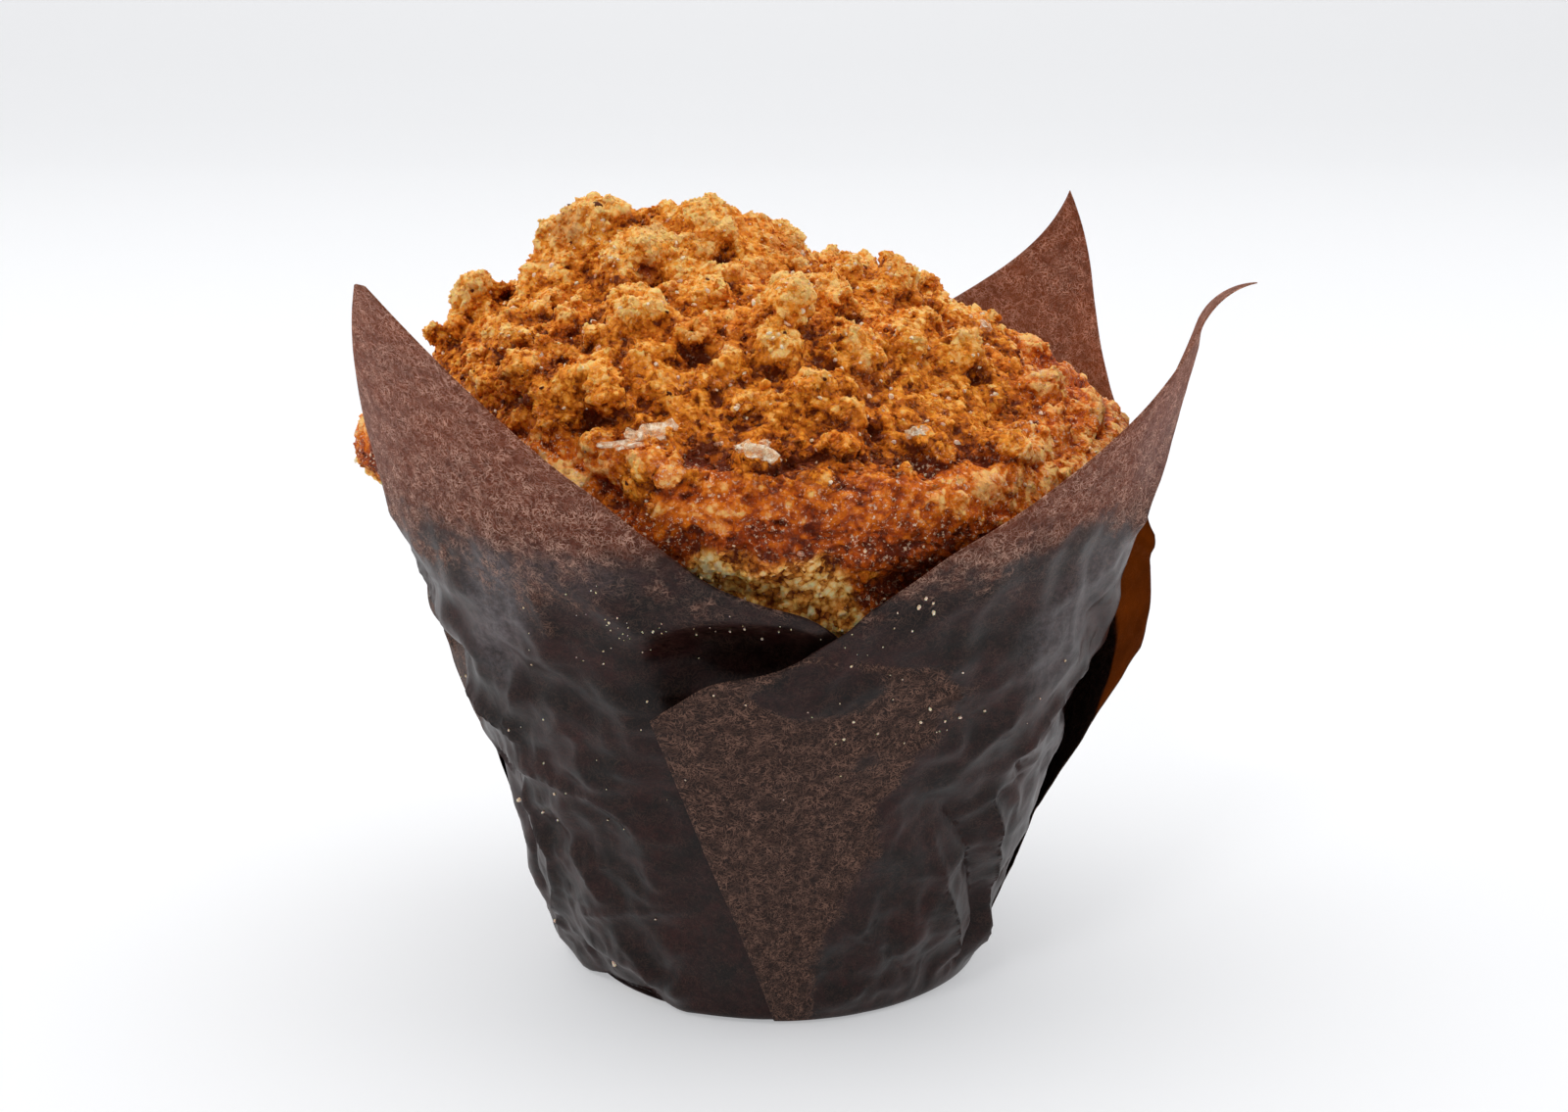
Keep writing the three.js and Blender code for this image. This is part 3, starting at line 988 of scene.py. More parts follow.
@dataclass(frozen=True)
class Dent:
    """A broad push in the paper: azimuth and height of its middle, half width and half height."""

    azimuth: float
    height: float
    size: Pair
    depth: float

    def relief(self, azimuth: np.ndarray, z: np.ndarray, radius: float) -> np.ndarray:
        """Height that the push adds at azimuths and heights on a surface of a radius."""
        across = np.radians(turn_from(azimuth, self.azimuth)) * radius / self.size[0]
        away = np.hypot(across, (z - self.height) / self.size[1])
        return self.depth * (1.0 - smooth(0.35, 1.0, away))


@dataclass(frozen=True)
class Wave:
    """A rise or sag in a petal's cut edge: azimuth of its middle, half width in degrees, height."""

    azimuth: float
    width: float
    height: float


# Facets of the crumpled paper, coarse to fine: width, seed and depth.
CRUMPLES = ((12.0, 0.4, 1.1), (5.5, 5.2, 0.6), (2.6, 7.9, 0.14))
# Heights and azimuths up to which a petal is lit through. This one never is.
NO_FLAP = ((0.0, -900.0),)
# How far the dry part of a petal reaches from its left edge: heights and azimuths.
DRY_LIMITS = (
    (0.0, 8.0), (7.0, 9.0), (29.0, 19.0), (40.0, 30.0), (44.0, 31.0), (47.0, 24.0), (50.0, -4.0),
    (53.0, -32.0),
)


@dataclass(frozen=True)
class Petal:
    """One petal of the case, from under the base up to its tip.

    Its left part lies outermost, over its neighbour, and its right part is tucked behind the next
    petal. Azimuths are in degrees, and arc lengths go up the sheet from the base's edge.
    """

    name: str
    left: Side
    right: Side
    tip: float
    reach: float
    curl_start: float
    curl: float
    lift: float
    blunt: float = 0.0
    flare: float = 0.0
    creases: tuple[Crease, ...] = ()
    dents: tuple[Dent, ...] = ()
    # Patches of painted sheen, with a strength instead of a depth.
    painted_sheen: tuple[Dent, ...] = ()
    patches: tuple[Dent, ...] = ()
    waves: tuple[Wave, ...] = ()
    flap: tuple[Pair, ...] = NO_FLAP
    flap_light: float = 0.66
    flap_blur: float = 1.3
    wall: Wall = Wall()
    outer_gap: float = 0.1
    layer_step: float = 0.75
    base_layer_step: float = 0.22
    tuck: Pair = (0.36, 0.64)
    overlap: float = 0.3
    lift_rise: Pair = (18.0, 42.0)
    lift_fall: Pair = (46.0, 68.0)
    lift_width: float = 0.38
    start: float = -3.4
    fold_top: float = 0.9
    fold_radius: float = 1.0
    fold_step: float = 0.1
    step: float = 0.5
    columns: int = 150
    rows: int = 128
    gathering: float = 1.5

    def meridian(self) -> tuple[np.ndarray, np.ndarray, np.ndarray]:
        """The petal's section.

        Returns:
            Arc lengths from under the base to past the tip, and the radius and height at each.
        """
        lengths, radii, heights = [0.0], [self.wall.base_radius], [0.0]
        while lengths[-1] < self.reach + 2.0:
            s, r, z = lengths[-1], radii[-1], heights[-1]
            slope = float(self.wall.radius(z + 0.5) - self.wall.radius(z)) / 0.5
            slope += self.flare * float(smooth(50.0, 62.0, z))
            curled = min(1.0, max(0.0, (s - self.curl_start) / (self.reach - self.curl_start)))
            angle = math.atan(slope) + math.radians(self.curl) * curled
            radii.append(r + self.step * math.sin(angle))
            heights.append(z + self.step * math.cos(angle))
            lengths.append(s + self.step)
        s, r, z = np.array(lengths), np.array(radii), np.array(heights)
        return self._with_fold(s, r, z)

    def _with_fold(
        self, s: np.ndarray, r: np.ndarray, z: np.ndarray
    ) -> tuple[np.ndarray, np.ndarray, np.ndarray]:
        """The section with its foot rounded and led in under the base."""
        top = self.fold_top
        radius, height = float(np.interp(top, s, r)), float(np.interp(top, s, z))
        angle = math.atan2(r[1] - r[0], z[1] - z[0])
        fine = self.fold_step
        low = [(top, radius, height)]
        while low[-1][0] > self.start:
            place, radius, height = low[-1]
            turned = min(math.pi / 2.0, angle + (top - place) / self.fold_radius)
            low.append(
                (place - fine, radius - fine * math.sin(turned), height - fine * math.cos(turned))
            )
        foot = np.array(low[::-1])
        above = s > top
        return (
            np.concatenate((foot[:, 0], s[above])),
            np.concatenate((foot[:, 1], r[above])),
            np.concatenate((foot[:, 2], z[above])),
        )

    def tip_share(self) -> float:
        """Share of the width at which the tip stands."""
        return (self.tip - self.left.corner) / (self.right.corner - self.left.corner)

    def top_length(self, u: np.ndarray) -> np.ndarray:
        """Arc length of the top edge at shares of the width."""
        at = self.tip_share()
        on_left = u <= at
        t = np.where(on_left, u / at, (1.0 - u) / (1.0 - at))
        edges = []
        for side in (self.left, self.right):
            plateau = self.reach - side.slit - side.spike
            edges.append(side.slit + plateau * t**side.bend + side.spike * t**side.sharp)
        top = np.minimum(np.where(on_left, *edges), self.reach - self.blunt)
        azimuth = mix(self.left.corner, self.right.corner, u)
        for wave in self.waves:
            top = top + wave.height * np.exp(-(((azimuth - wave.azimuth) / wave.width) ** 2))
        return top

    def shares(self) -> np.ndarray:
        """Shares of the width at which the columns stand, gathered towards the tip."""
        at = self.tip_share()
        left = max(8, round(self.columns * at))
        t = np.linspace(0.0, 1.0, left + 1)
        before = at * (1.0 - (1.0 - t) ** self.gathering)
        t = np.linspace(0.0, 1.0, self.columns - left + 1)[1:]
        return np.concatenate((before, mix(at, 1.0, t**self.gathering)))

    def azimuth(self, u: np.ndarray, s: np.ndarray) -> np.ndarray:
        """Azimuth in degrees at shares of the width and arc lengths."""
        ends = []
        for side in (self.left, self.right):
            t = np.clip(s / side.slit, 0.0, 1.0)
            ends.append(mix(side.base, side.corner, t) + side.bow * 4.0 * t * (1.0 - t))
        return mix(ends[0], ends[1], u)

    def middle(self, u: np.ndarray, s: np.ndarray) -> np.ndarray:
        """Points of the petal's smooth middle surface."""
        lengths, radii, heights = self.meridian()
        azimuth = np.radians(self.azimuth(u, s))
        r, z = np.interp(s, lengths, radii), np.interp(s, lengths, heights)
        peel = np.clip(1.0 - u / self.lift_width, 0.0, 1.0) ** 1.5
        low, high = self.lift_rise
        lifted = np.clip((z - low) / (high - low), 0.0, 1.0) * (1.0 - smooth(*self.lift_fall, z))
        step = mix(self.base_layer_step, self.layer_step, smooth(0.0, 6.0, s))
        depth = self.outer_gap + step * smooth(*self.tuck, u)
        upright = smooth(-0.5, 3.0, s)
        radius = r - depth * upright + self.lift * peel * lifted
        z = z + depth * (1.0 - upright)
        x = self.wall.shift(z) + radius * np.sin(azimuth)
        return np.stack((x, -radius * np.cos(azimuth), z), -1)

    @staticmethod
    def _laid_flat(azimuth: np.ndarray, s: np.ndarray) -> np.ndarray:
        """Points of the flat sheet at azimuths and arc lengths, one row each."""
        across = np.radians(azimuth) * CRUMPLE_RADIUS
        return np.stack((across, s, np.zeros_like(s)), -1).reshape(-1, 3)

    def crumple(self, u: np.ndarray, s: np.ndarray, points: np.ndarray) -> np.ndarray:
        """How far the crumpled paper stands off its smooth surface.

        Args:
            u: shares of the width.
            s: arc lengths.
            points: the smooth points there.

        Returns:
            The distance outwards for each point.
        """
        z = points[..., 2].ravel()
        azimuth = self.azimuth(u, s).ravel()
        flat = self._laid_flat(azimuth, s.ravel())
        warped = flat.copy()
        warped[:, 0] += 2.2 * soft_noise(flat, 11.0, 2, 3.1)
        warped[:, 1] += 2.2 * soft_noise(flat, 11.0, 2, 8.7)
        facets = np.zeros(s.size)
        for size, seed, depth in CRUMPLES:
            facets = facets + depth * (cell_noise(warped, size, seed, "MANHATTAN")[0] - 0.55)
        lines = 0.3 - np.abs(soft_noise(warped, 9.0, 2, 4.7))
        amount = mix(0.14, 1.0, self.soaked(u, s).ravel()) * (1.0 - 0.7 * smooth(60.0, 72.0, z))
        relief = amount * (facets + lines)
        relief += 0.35 * soft_noise(flat, 16.0, 2, 1.9) * mix(0.5, 1.0, amount)
        for crease in self.creases:
            relief += 1.5 * crease.relief(azimuth, z, FOLD_RADIUS)
        tucked = smooth(*self.tuck, u.ravel())
        relief = np.where(relief > 0.0, relief * (1.0 - 0.9 * tucked), relief)
        below = (u.ravel() < self.overlap) & (s.ravel() < max(self.left.slit, 30.0))
        relief = np.where(below, np.maximum(relief, -0.28), relief)
        relief = relief * smooth(0.6, 5.0, s.ravel())
        for dent in self.dents:
            relief += dent.relief(azimuth, z, FOLD_RADIUS)
        return relief.reshape(s.shape)

    def soaked(self, u: np.ndarray, s: np.ndarray) -> np.ndarray:
        """How much fat has soaked in, from 0 to 1: a lot below the crown, little in the flap."""
        azimuth = self.azimuth(u, s)
        lengths, _, heights = self.meridian()
        z = np.interp(s, lengths, heights)
        uneven = soft_noise(self._laid_flat(azimuth, s), 14.0, 3, 6.4).reshape(s.shape)
        below_crown = 1.0 - smooth(48.0, 68.0, z + 7.0 * uneven)
        heights, limits = zip(*DRY_LIMITS)
        limit = np.interp(z, heights, limits)
        wet = smooth(-6.0, 6.0, azimuth - self.left.base - limit + 6.0 * uneven)
        for patch in self.patches:
            wet = np.maximum(wet, patch.relief(azimuth, z, FOLD_RADIUS))
        return below_crown * mix(0.06, 1.0, wet)

    def build(self) -> bpy.types.Object:
        """Builds the petal as a thin crumpled sheet with its own flat map."""
        shares = self.shares()
        shape = bmesh.new()
        columns, rows = len(shares), self.rows + 1
        bmesh.ops.create_grid(
            shape, x_segments=columns - 1, y_segments=rows - 1, size=0.5, calc_uvs=True
        )
        shape.verts.ensure_lookup_table()
        grid = np.array([v.co for v in shape.verts]) + 0.5
        column = np.rint(grid[:, 0] * (columns - 1)).astype(int)
        u = shares[column]
        s = mix(self.start, self.top_length(u), grid[:, 1])
        order = np.lexsort((grid[:, 1], column))
        u2, s2 = u[order].reshape(columns, rows), s[order].reshape(columns, rows)
        middle = self.middle(u2, s2)
        across, along = self._tangents(u2, s2)
        normal = np.cross(across, along)
        normal /= np.linalg.norm(normal, axis=-1, keepdims=True)
        relief = self.crumple(u2, s2, middle)
        points = np.zeros((len(grid), 3))
        points[order] = (middle + normal * relief[..., None]).reshape(-1, 3)
        for vertex, point in zip(shape.verts, points * MM):
            vertex.co = point
        sheet = shape.loops.layers.uv.verify()
        azimuth = self.azimuth(u, s)
        flat = np.stack((np.radians(azimuth) * SHEET_RADIUS, s), -1) * MM
        for face in shape.faces:
            for loop in face.loops:
                loop[sheet].uv = flat[loop.vert.index]
        piece = object_from_bmesh(self.name, shape)
        wet = np.zeros(len(grid))
        wet[order] = self.soaked(u2, s2).ravel()
        height = points[:, 2]
        # Painted sheen, summed over the petal's patches.
        painted_sheen = np.zeros(len(grid))
        for patch in self.painted_sheen:
            painted_sheen = painted_sheen + patch.relief(azimuth, height, FOLD_RADIUS)
        values = {"soaked": wet, "warm": smooth(48.0, 62.0, height), "painted_sheen": painted_sheen}
        wavy = azimuth + 2.2 * soft_noise(points, 7.0, 2, 4.9)
        heights, limits = zip(*self.flap)
        past = wavy - np.interp(height, heights, limits)
        flap = self.flap_light * (1.0 - smooth(-self.flap_blur, self.flap_blur, past))
        values["free"] = np.maximum(0.6 * smooth(56.0, 62.0, height), flap)
        finish_sheet(piece, values)
        return piece

    def _tangents(self, u: np.ndarray, s: np.ndarray) -> tuple[np.ndarray, np.ndarray]:
        """Directions of the smooth surface across and along the petal."""
        probe = 0.01
        across = self.middle(u + probe, s) - self.middle(u - probe, s)
        along = self.middle(u, s + probe) - self.middle(u, s - probe)
        return across, along


FRONT_RIGHT_CREASES = (
    Crease(((34, 26.7), (39, 23.5), (43, 19.9), (54, 10.2), (52, 4.0)), -1.0, 1.5),
    Crease(((43, 28.0), (49, 20.4), (56, 14.2), (60, 6.0)), 0.8, 1.4),
    Crease(((31, 24.0), (37, 16.7), (44, 10.9), (50, 5.5)), 0.45, 0.8),
    Crease(((60, 41.0), (57, 39.0), (50, 36.6), (45, 32.9)), 0.7, 0.9),
    Crease(((45, 32.9), (52, 28.6), (44, 27.2)), -0.6, 1.2),
    Crease(((15, 12.5), (25, 9.7), (33, 5.5)), -0.4, 1.0),
    Crease(((73, 76.0), (72, 70.0), (68, 64.0), (63, 58.0)), 0.8, 1.6),
    Crease(((66, 34.0), (84, 35.0)), -1.2, 2.2),
    Crease(((64, 20.0), (72, 12.0), (70, 2.0)), 0.5, 1.2),
    Crease(((26, 44.0), (34, 40.0), (40, 38.0)), 0.35, 0.8),
)
FRONT_RIGHT_DENTS = (
    Dent(66.0, 38.0, (9.0, 5.0), -0.6),
    Dent(50.0, 12.0, (7.0, 9.0), -0.5),
)
FRONT_LEFT_CREASES = (
    Crease(((-43, 43.2), (-45, 39.8), (-49, 36.8)), 0.5, 0.8),
    Crease(((-58, 39.6), (-52, 36.9), (-49, 35.0)), 0.8, 1.0),
    Crease(((-96, 41.0), (-80, 41.6), (-67, 42.4), (-56, 43.6)), -0.8, 1.5),
    Crease(((-98, 26.0), (-82, 27.2), (-66, 28.6), (-54, 29.2)), -1.1, 1.7),
    Crease(((-59, 31.6), (-51, 31.0), (-43, 30.4), (-33, 29.8), (-26, 26.7)), 0.65, 1.3),
    Crease(((-53, 28.0), (-54, 22.2), (-51, 19.4), (-55, 13.6), (-64, 7.0)), 0.7, 1.0),
    Crease(((-60, 27.0), (-62, 20.0), (-66, 12.0)), -0.7, 1.1),
    Crease(((-43, 20.9), (-40, 19.0), (-38, 15.8)), 0.55, 1.8),
    Crease(((-33, 54.0), (-32, 49.7), (-35, 45.8)), 0.5, 1.6),
    Crease(((-10, 16.4), (-20, 9.3), (-33, 1.2)), -0.45, 0.9),
    Crease(((-45, 12.6), (-30, 14.6), (-19, 15.7)), 0.25, 0.6),
    Crease(((-10, 59.5), (-7, 56.9), (-2, 54.6)), 0.3, 0.6),
)
FRONT_LEFT_DENTS = (
    Dent(-84.0, 51.0, (20.0, 7.0), -1.5),
    Dent(-80.0, 22.0, (18.0, 9.0), -1.2),
    Dent(-44.0, 1.5, (13.0, 5.5), -1.3),
    Dent(-5.0, 47.5, (11.0, 5.5), -2.8),
    Dent(-48.0, 53.0, (5.0, 6.0), 0.5),
    Dent(-40.0, 44.0, (9.0, 3.5), -0.8),
    Dent(-30.0, 33.0, (8.0, 3.0), 0.6),
    Dent(-34.0, 24.0, (6.0, 9.0), -0.7),
)
# Painted sheen: places where the soaked paper is painted a paler grey in place of a soft reflection,
# with a strength instead of a depth.
FRONT_LEFT_SHEEN = (
    Dent(-41.0, 53.0, (5.0, 8.0), 0.46),
    Dent(-46.0, 46.0, (4.0, 6.0), 0.3),
    Dent(-28.0, 57.5, (9.0, 4.0), 0.16),
    Dent(-62.0, 24.0, (7.0, 9.0), 0.14),
)
# Painted sheen on the front right petal, with a strength instead of a depth.
FRONT_RIGHT_SHEEN = (
    Dent(47.0, 47.0, (7.0, 9.0), 0.3),
    Dent(58.0, 54.0, (9.0, 5.0), 0.26),
    Dent(62.0, 30.0, (6.0, 16.0), 0.2),
    Dent(64.0, 68.0, (7.0, 9.0), 0.4),
)
PETALS = (
    Petal(
        name="petal_front_right",
        left=Side(0.0, -17.1, 44.6, 0.91, 6.0, 17.0, -1.9),
        right=Side(95.0, 113.0, 46.0, 0.75, 6.5, 5.3),
        tip=77.0,
        reach=89.6,
        flare=0.065,
        curl_start=80.5,
        curl=70.7,
        lift=3.8,
        lift_width=0.26,
        lift_rise=(4.0, 43.0),
        lift_fall=(46.0, 60.0),
        tuck=(0.6, 0.76),
        painted_sheen=FRONT_RIGHT_SHEEN,
        patches=(Dent(7.0, 45.0, (8.5, 4.6), 1.0), Dent(14.0, 36.0, (3.0, 2.4), 0.4)),
        waves=(Wave(4.5, 9.5, -3.2), Wave(-9.0, 3.2, 0.5), Wave(17.0, 4.0, -0.4)),
        creases=FRONT_RIGHT_CREASES,
        dents=FRONT_RIGHT_DENTS,
    ),
    Petal(
        name="petal_back_right",
        left=Side(86.0, 70.0, 44.0, 0.97, 20.0, 7.2),
        right=Side(185.0, 202.0, 44.0, 0.74, 7.2, 7.2),
        tip=126.8,
        reach=91.6,
        curl_start=80.0,
        curl=-29.0,
        lift=4.7,
        lift_fall=(44.0, 66.0),
        flap=((27.5, 56.0), (29.5, 67.0), (33.0, 77.0), (37.0, 85.0), (40.5, 92.0), (43.0, 125.0)),
    ),
    Petal(
        name="petal_back_left",
        left=Side(181.0, 162.0, 44.0, 1.0, 3.0, 14.0),
        right=Side(275.0, 291.0, 44.0, 1.6, 3.0, 10.0),
        tip=220.0,
        reach=76.0,
        flare=0.14,
        curl_start=60.0,
        curl=26.0,
        lift=1.6,
    ),
    Petal(
        name="petal_front_left",
        left=Side(271.0, 252.0, 44.0, 1.06, 2.0, 3.0),
        right=Side(364.0, 380.0, 43.5, 0.77, 14.0, 3.2),
        tip=310.0,
        reach=91.3,
        blunt=1.0,
        curl_start=62.0,
        curl=15.8,
        lift=0.5,
        tuck=(0.66, 0.76),
        waves=(Wave(367.0, 7.0, 2.5), Wave(351.0, 5.0, -0.7), Wave(338.0, 4.0, 0.4)),
        painted_sheen=FRONT_LEFT_SHEEN,
        creases=FRONT_LEFT_CREASES,
        dents=FRONT_LEFT_DENTS,
    ),
)


@dataclass
class PaperCase:
    """The tulip case: four petals round a flat base."""

    petals: tuple[Petal, ...] = PETALS
    base_radius: float = 23.0
    base_height: float = 0.09
    base_rings: int = 6
    base_sides: int = 72
    base_unevenness: float = 0.05
    base_soaked: float = 0.85
    skins: dict[str, Skin] = field(default_factory=dict)

    def build(self) -> None:
        """Builds and dresses every petal and the base."""
        paper = PaperFinish("baking_paper").make()
        for petal in self.petals:
            piece = petal.build()
            self.skins[petal.name] = Skin.of(piece.data)
            dress(piece, paper)
            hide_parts("paper_case")
        base = self._base()
        dress(base, paper)
        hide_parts("paper_case")

    def _base(self) -> bpy.types.Object:
        """Flat disc of the same sheet, pressed a little uneven."""
        shape = bmesh.new()
        bmesh.ops.create_circle(
            shape, cap_ends=True, segments=self.base_sides, radius=self.base_radius * MM
        )
        for _ in range(1, self.base_rings):
            bmesh.ops.inset_individual(
                shape,
                faces=[f for f in shape.faces if len(f.verts) > 4],
                thickness=self.base_radius / (self.base_rings + 0.5) * MM,
            )
        for vertex in shape.verts:
            uneven = float(soft_noise(np.array([vertex.co]) / MM, 9.0, 2)[0])
            vertex.co.z = (self.base_height + self.base_unevenness * uneven) * MM
        sheet = shape.loops.layers.uv.verify()
        for face in shape.faces:
            for loop in face.loops:
                loop[sheet].uv = loop.vert.co.xy
        piece = object_from_bmesh("case_base", shape)
        none = np.zeros(len(piece.data.vertices))
        values = {"soaked": none + self.base_soaked, "warm": none, "painted_sheen": none, "free": none}
        finish_sheet(piece, values)
        return piece


# ------------------------
# Cake
# ------------------------

# Crumble chunks by azimuth and elevation from the crown's middle, in degrees, and radius.
PLACED_CHUNKS = (
    (-81, 29, 2.4), (-81, 33, 2.2), (-79, 24, 2.0), (-69, 27, 2.2), (-103, 34, 1.6),
    (-78, 38, 1.8), (-79, 50, 1.8), (-85, 57, 2.9), (-64, 59, 2.4), (-92, 65, 1.1),
    (-55, 62, 1.9), (-63, 49, 1.9), (-42, 59, 1.9), (-46, 68, 2.4), (-62, 75, 2.4),
    (-53, 79, 2.0), (-62, 41, 2.4), (-68, 37, 1.5), (-43, 42, 2.3), (-36, 34, 1.8),
    (-38, 32, 1.2), (-56, 31, 2.1), (-55, 27, 1.9), (-26, 51, 2.1), (-14, 45, 2.1),
    (-7, 40, 1.9), (-18, 35, 1.8), (-32, 24, 1.8), (-26, 28, 1.2), (-21, 24, 1.8),
    (-45, 21, 2.0), (-55, 19, 1.9), (-39, 20, 2.0), (-28, 20, 1.6), (-9, 26, 2.0),
    (-12, 21, 2.0), (-16, 20, 1.4), (-36, 14, 2.0), (-26, 18, 2.0), (-138, 87, 2.5),
    (160, 73, 2.1), (52, 77, 1.3), (-12, 70, 1.9), (5, 69, 1.5), (70, 66, 1.9),
    (62, 55, 1.6), (70, 52, 1.6), (34, 60, 1.7), (7, 43, 2.0), (29, 56, 1.7),
    (2, 41, 1.8), (19, 38, 1.5), (3, 34, 2.4), (16, 35, 1.5), (60, 53, 1.7),
    (70, 49, 1.6), (88, 43, 1.7), (89, 37, 1.8), (43, 40, 1.8), (45, 34, 1.9),
    (22, 26, 1.6), (24, 23, 1.6), (35, 28, 1.5), (45, 29, 1.9), (51, 28, 1.8),
    (71, 25, 1.6), (0, 24, 1.4), (10, 25, 1.7), (14, 18, 1.5), (3, 20, 1.7),
    (27, 19, 1.3), (27, 14, 1.5), (22, 15, 1.7), (42, 20, 1.8), (40, 16, 1.5),
    (33, 15, 1.3), (62, 18, 2.1), (66, 17, 1.7), (53, 20, 1.7), (-17, 11, 1.3),
    (-13, 10, 1.0), (-18, 7, 0.9), (-8, 10, 1.0), (-27, 13, 1.2),
)
# Deep hollows between the chunks: azimuth, elevation, radius and depth.
HOLLOWS = (
    (-24, 35, 2.3, 4.0), (-23, 39, 1.8, 3.4), (-15, 30, 2.0, 3.8), (-7, 26, 2.3, 3.4),
    (1, 27, 2.1, 3.4), (-66, 45, 1.6, 2.2), (-32, 69, 1.7, 2.2), (15, 40, 1.3, 1.8),
    (13, 31, 1.7, 2.6), (19, 16, 1.2, 2.2), (66, 37, 1.5, 2.2), (17, 33, 1.2, 2.0),
    (-29, 16, 1.5, 2.0), (-41, 24, 1.4, 1.8), (-11, 0, 1.6, 2.0), (-4, -2, 1.3, 1.8),
    (9, -3, 1.3, 1.6), (120, 38, 1.8, 2.6), (150, 30, 2.0, 3.0), (178, 42, 1.8, 2.6),
    (205, 28, 2.0, 2.8), (232, 40, 1.8, 2.6), (250, 30, 1.8, 2.4), (95, 26, 1.8, 2.4),
    (74, 73, 2.6, 3.0), (-46, 52, 1.7, 2.4), (-58, 36, 1.6, 2.0), (-14, 57, 1.6, 2.2),
    (34, 48, 1.6, 2.2), (-50, 24, 1.4, 2.0), (50, 24, 1.4, 2.0), (-4, 52, 1.4, 1.8),
)
# Spots that baked darker: azimuth, elevation, radius and how dark from 0 to 1.
SCORCHED = (
    (-53, 54, 1.2, 0.95), (-80, 50, 2.4, 0.5), (31, 80, 2.8, 0.42), (22, 26, 1.6, 0.75),
    (14, 18, 1.5, 0.3), (80, 46, 1.8, 0.6), (6, 3, 2.2, 0.35), (-62, 62, 1.4, 0.4),
    (128, 44, 2.6, 0.5), (172, 66, 2.4, 0.45), (214, 34, 2.2, 0.5), (-108, 30, 2.0, 0.4),
)
# Chunks that stand clear of the rest: azimuth, elevation, radius and how far they stand out.
PROUD_CHUNKS = (
    (92, 60, 1.5, 2.6), (80, 46, 1.5, 1.8), (-38, 50, 1.8, 2.0), (8, 47, 1.9, 2.2),
    (24, 30, 1.6, 1.8), (3, 36, 2.0, 2.0), (-36, 21, 1.8, 1.8), (-20, 62, 1.8, 2.0),
    (72, 67, 1.2, 2.2),
)
# Broad swells of the heap and dips in it: azimuth, elevation, radius and rise.
SWELLS = (
    (-86, 51, 3.2, 1.6), (-88, 60, 5.0, 0.8), (-84, 71, 4.0, 0.9), (0, 87, 4.0, 1.0),
    (76, 77, 2.0, -2.4), (129, 37, 2.4, -2.6), (-82, 23, 2.4, -1.2), (-6, -19, 6.0, -3.4),
    (74, 67, 1.8, 2.4), (78, 57, 1.8, 2.2), (-82, 31, 2.4, -1.2), (-88, 37, 1.8, 0.8),
    (150, 84, 3.6, 1.5), (98, 39, 2.0, -0.8), (8, -19, 5.0, -2.2),
    (-81, 43, 3.6, 2.6), (-87, 54, 4.0, 1.0), (-75, 84, 5.0, 1.7), (-84, 71, 2.6, -1.6),
    (74, 74, 3.2, -4.0), (64, 70, 2.4, -2.6), (72, 61, 2.5, -1.4), (132, 38, 3.0, -1.2),
    (-88, 34, 4.0, -0.8), (40, 32, 4.0, 0.8), (-10, 33, 4.0, -0.8), (170, 50, 5.0, 1.4),
    (215, 46, 4.0, -1.2), (110, 22, 5.0, 1.0),
)
# Crumble that stuck to the bare crust: place and radius.
CRUMBLE_PATCHES = (
    ((-14.4, -39.6, 66.6), 3.4), ((-17.4, -38.2, 64.6), 2.6), ((8.9, -37.6, 57.4), 2.2),
    ((18.4, -35.0, 59.6), 2.4), ((30.0, -28.0, 68.0), 2.0), ((-8.0, -41.0, 67.4), 1.6),
)
# Folds round the crust: the shadowed step under the crumble, and the crust's lower lip.
CRUST_FOLDS = (
    Crease(((-37, 69.6), (-29, 67.2), (-25, 65.4), (-20, 63.6)), -1.3, 0.9),
    Crease(((-13, 68.6), (-4, 68.4), (1, 67.8), (7, 68.9), (16, 68.2), (24, 67.3)), -1.2, 0.7),
    Crease(((24, 67.3), (32, 68.0), (42, 66.0), (58, 67.0)), -1.2, 0.7),
    Crease(((-12, 61.8), (-7, 61.0), (1, 63.3), (9, 61.7), (18, 60.7), (27, 61.0)), -0.6, 1.0),
    Crease(((-21, 67.0), (-18, 67.6), (-14, 67.4)), 1.0, 1.6),
    Crease(((3, 64.6), (4, 62.0), (4, 59.8)), 0.6, 1.3),
    Crease(((-8, 66.2), (4, 66.4), (18, 65.8), (30, 66.0)), 0.5, 1.8),
    Crease(((64, 66.4), (90, 68.0), (118, 66.6), (142, 67.8)), -1.1, 0.8),
    Crease(((150, 66.2), (176, 68.2), (202, 66.8), (236, 68.0)), -1.1, 0.8),
    Crease(((96, 62.0), (120, 61.0), (150, 62.4), (190, 61.2)), -0.6, 1.0),
)


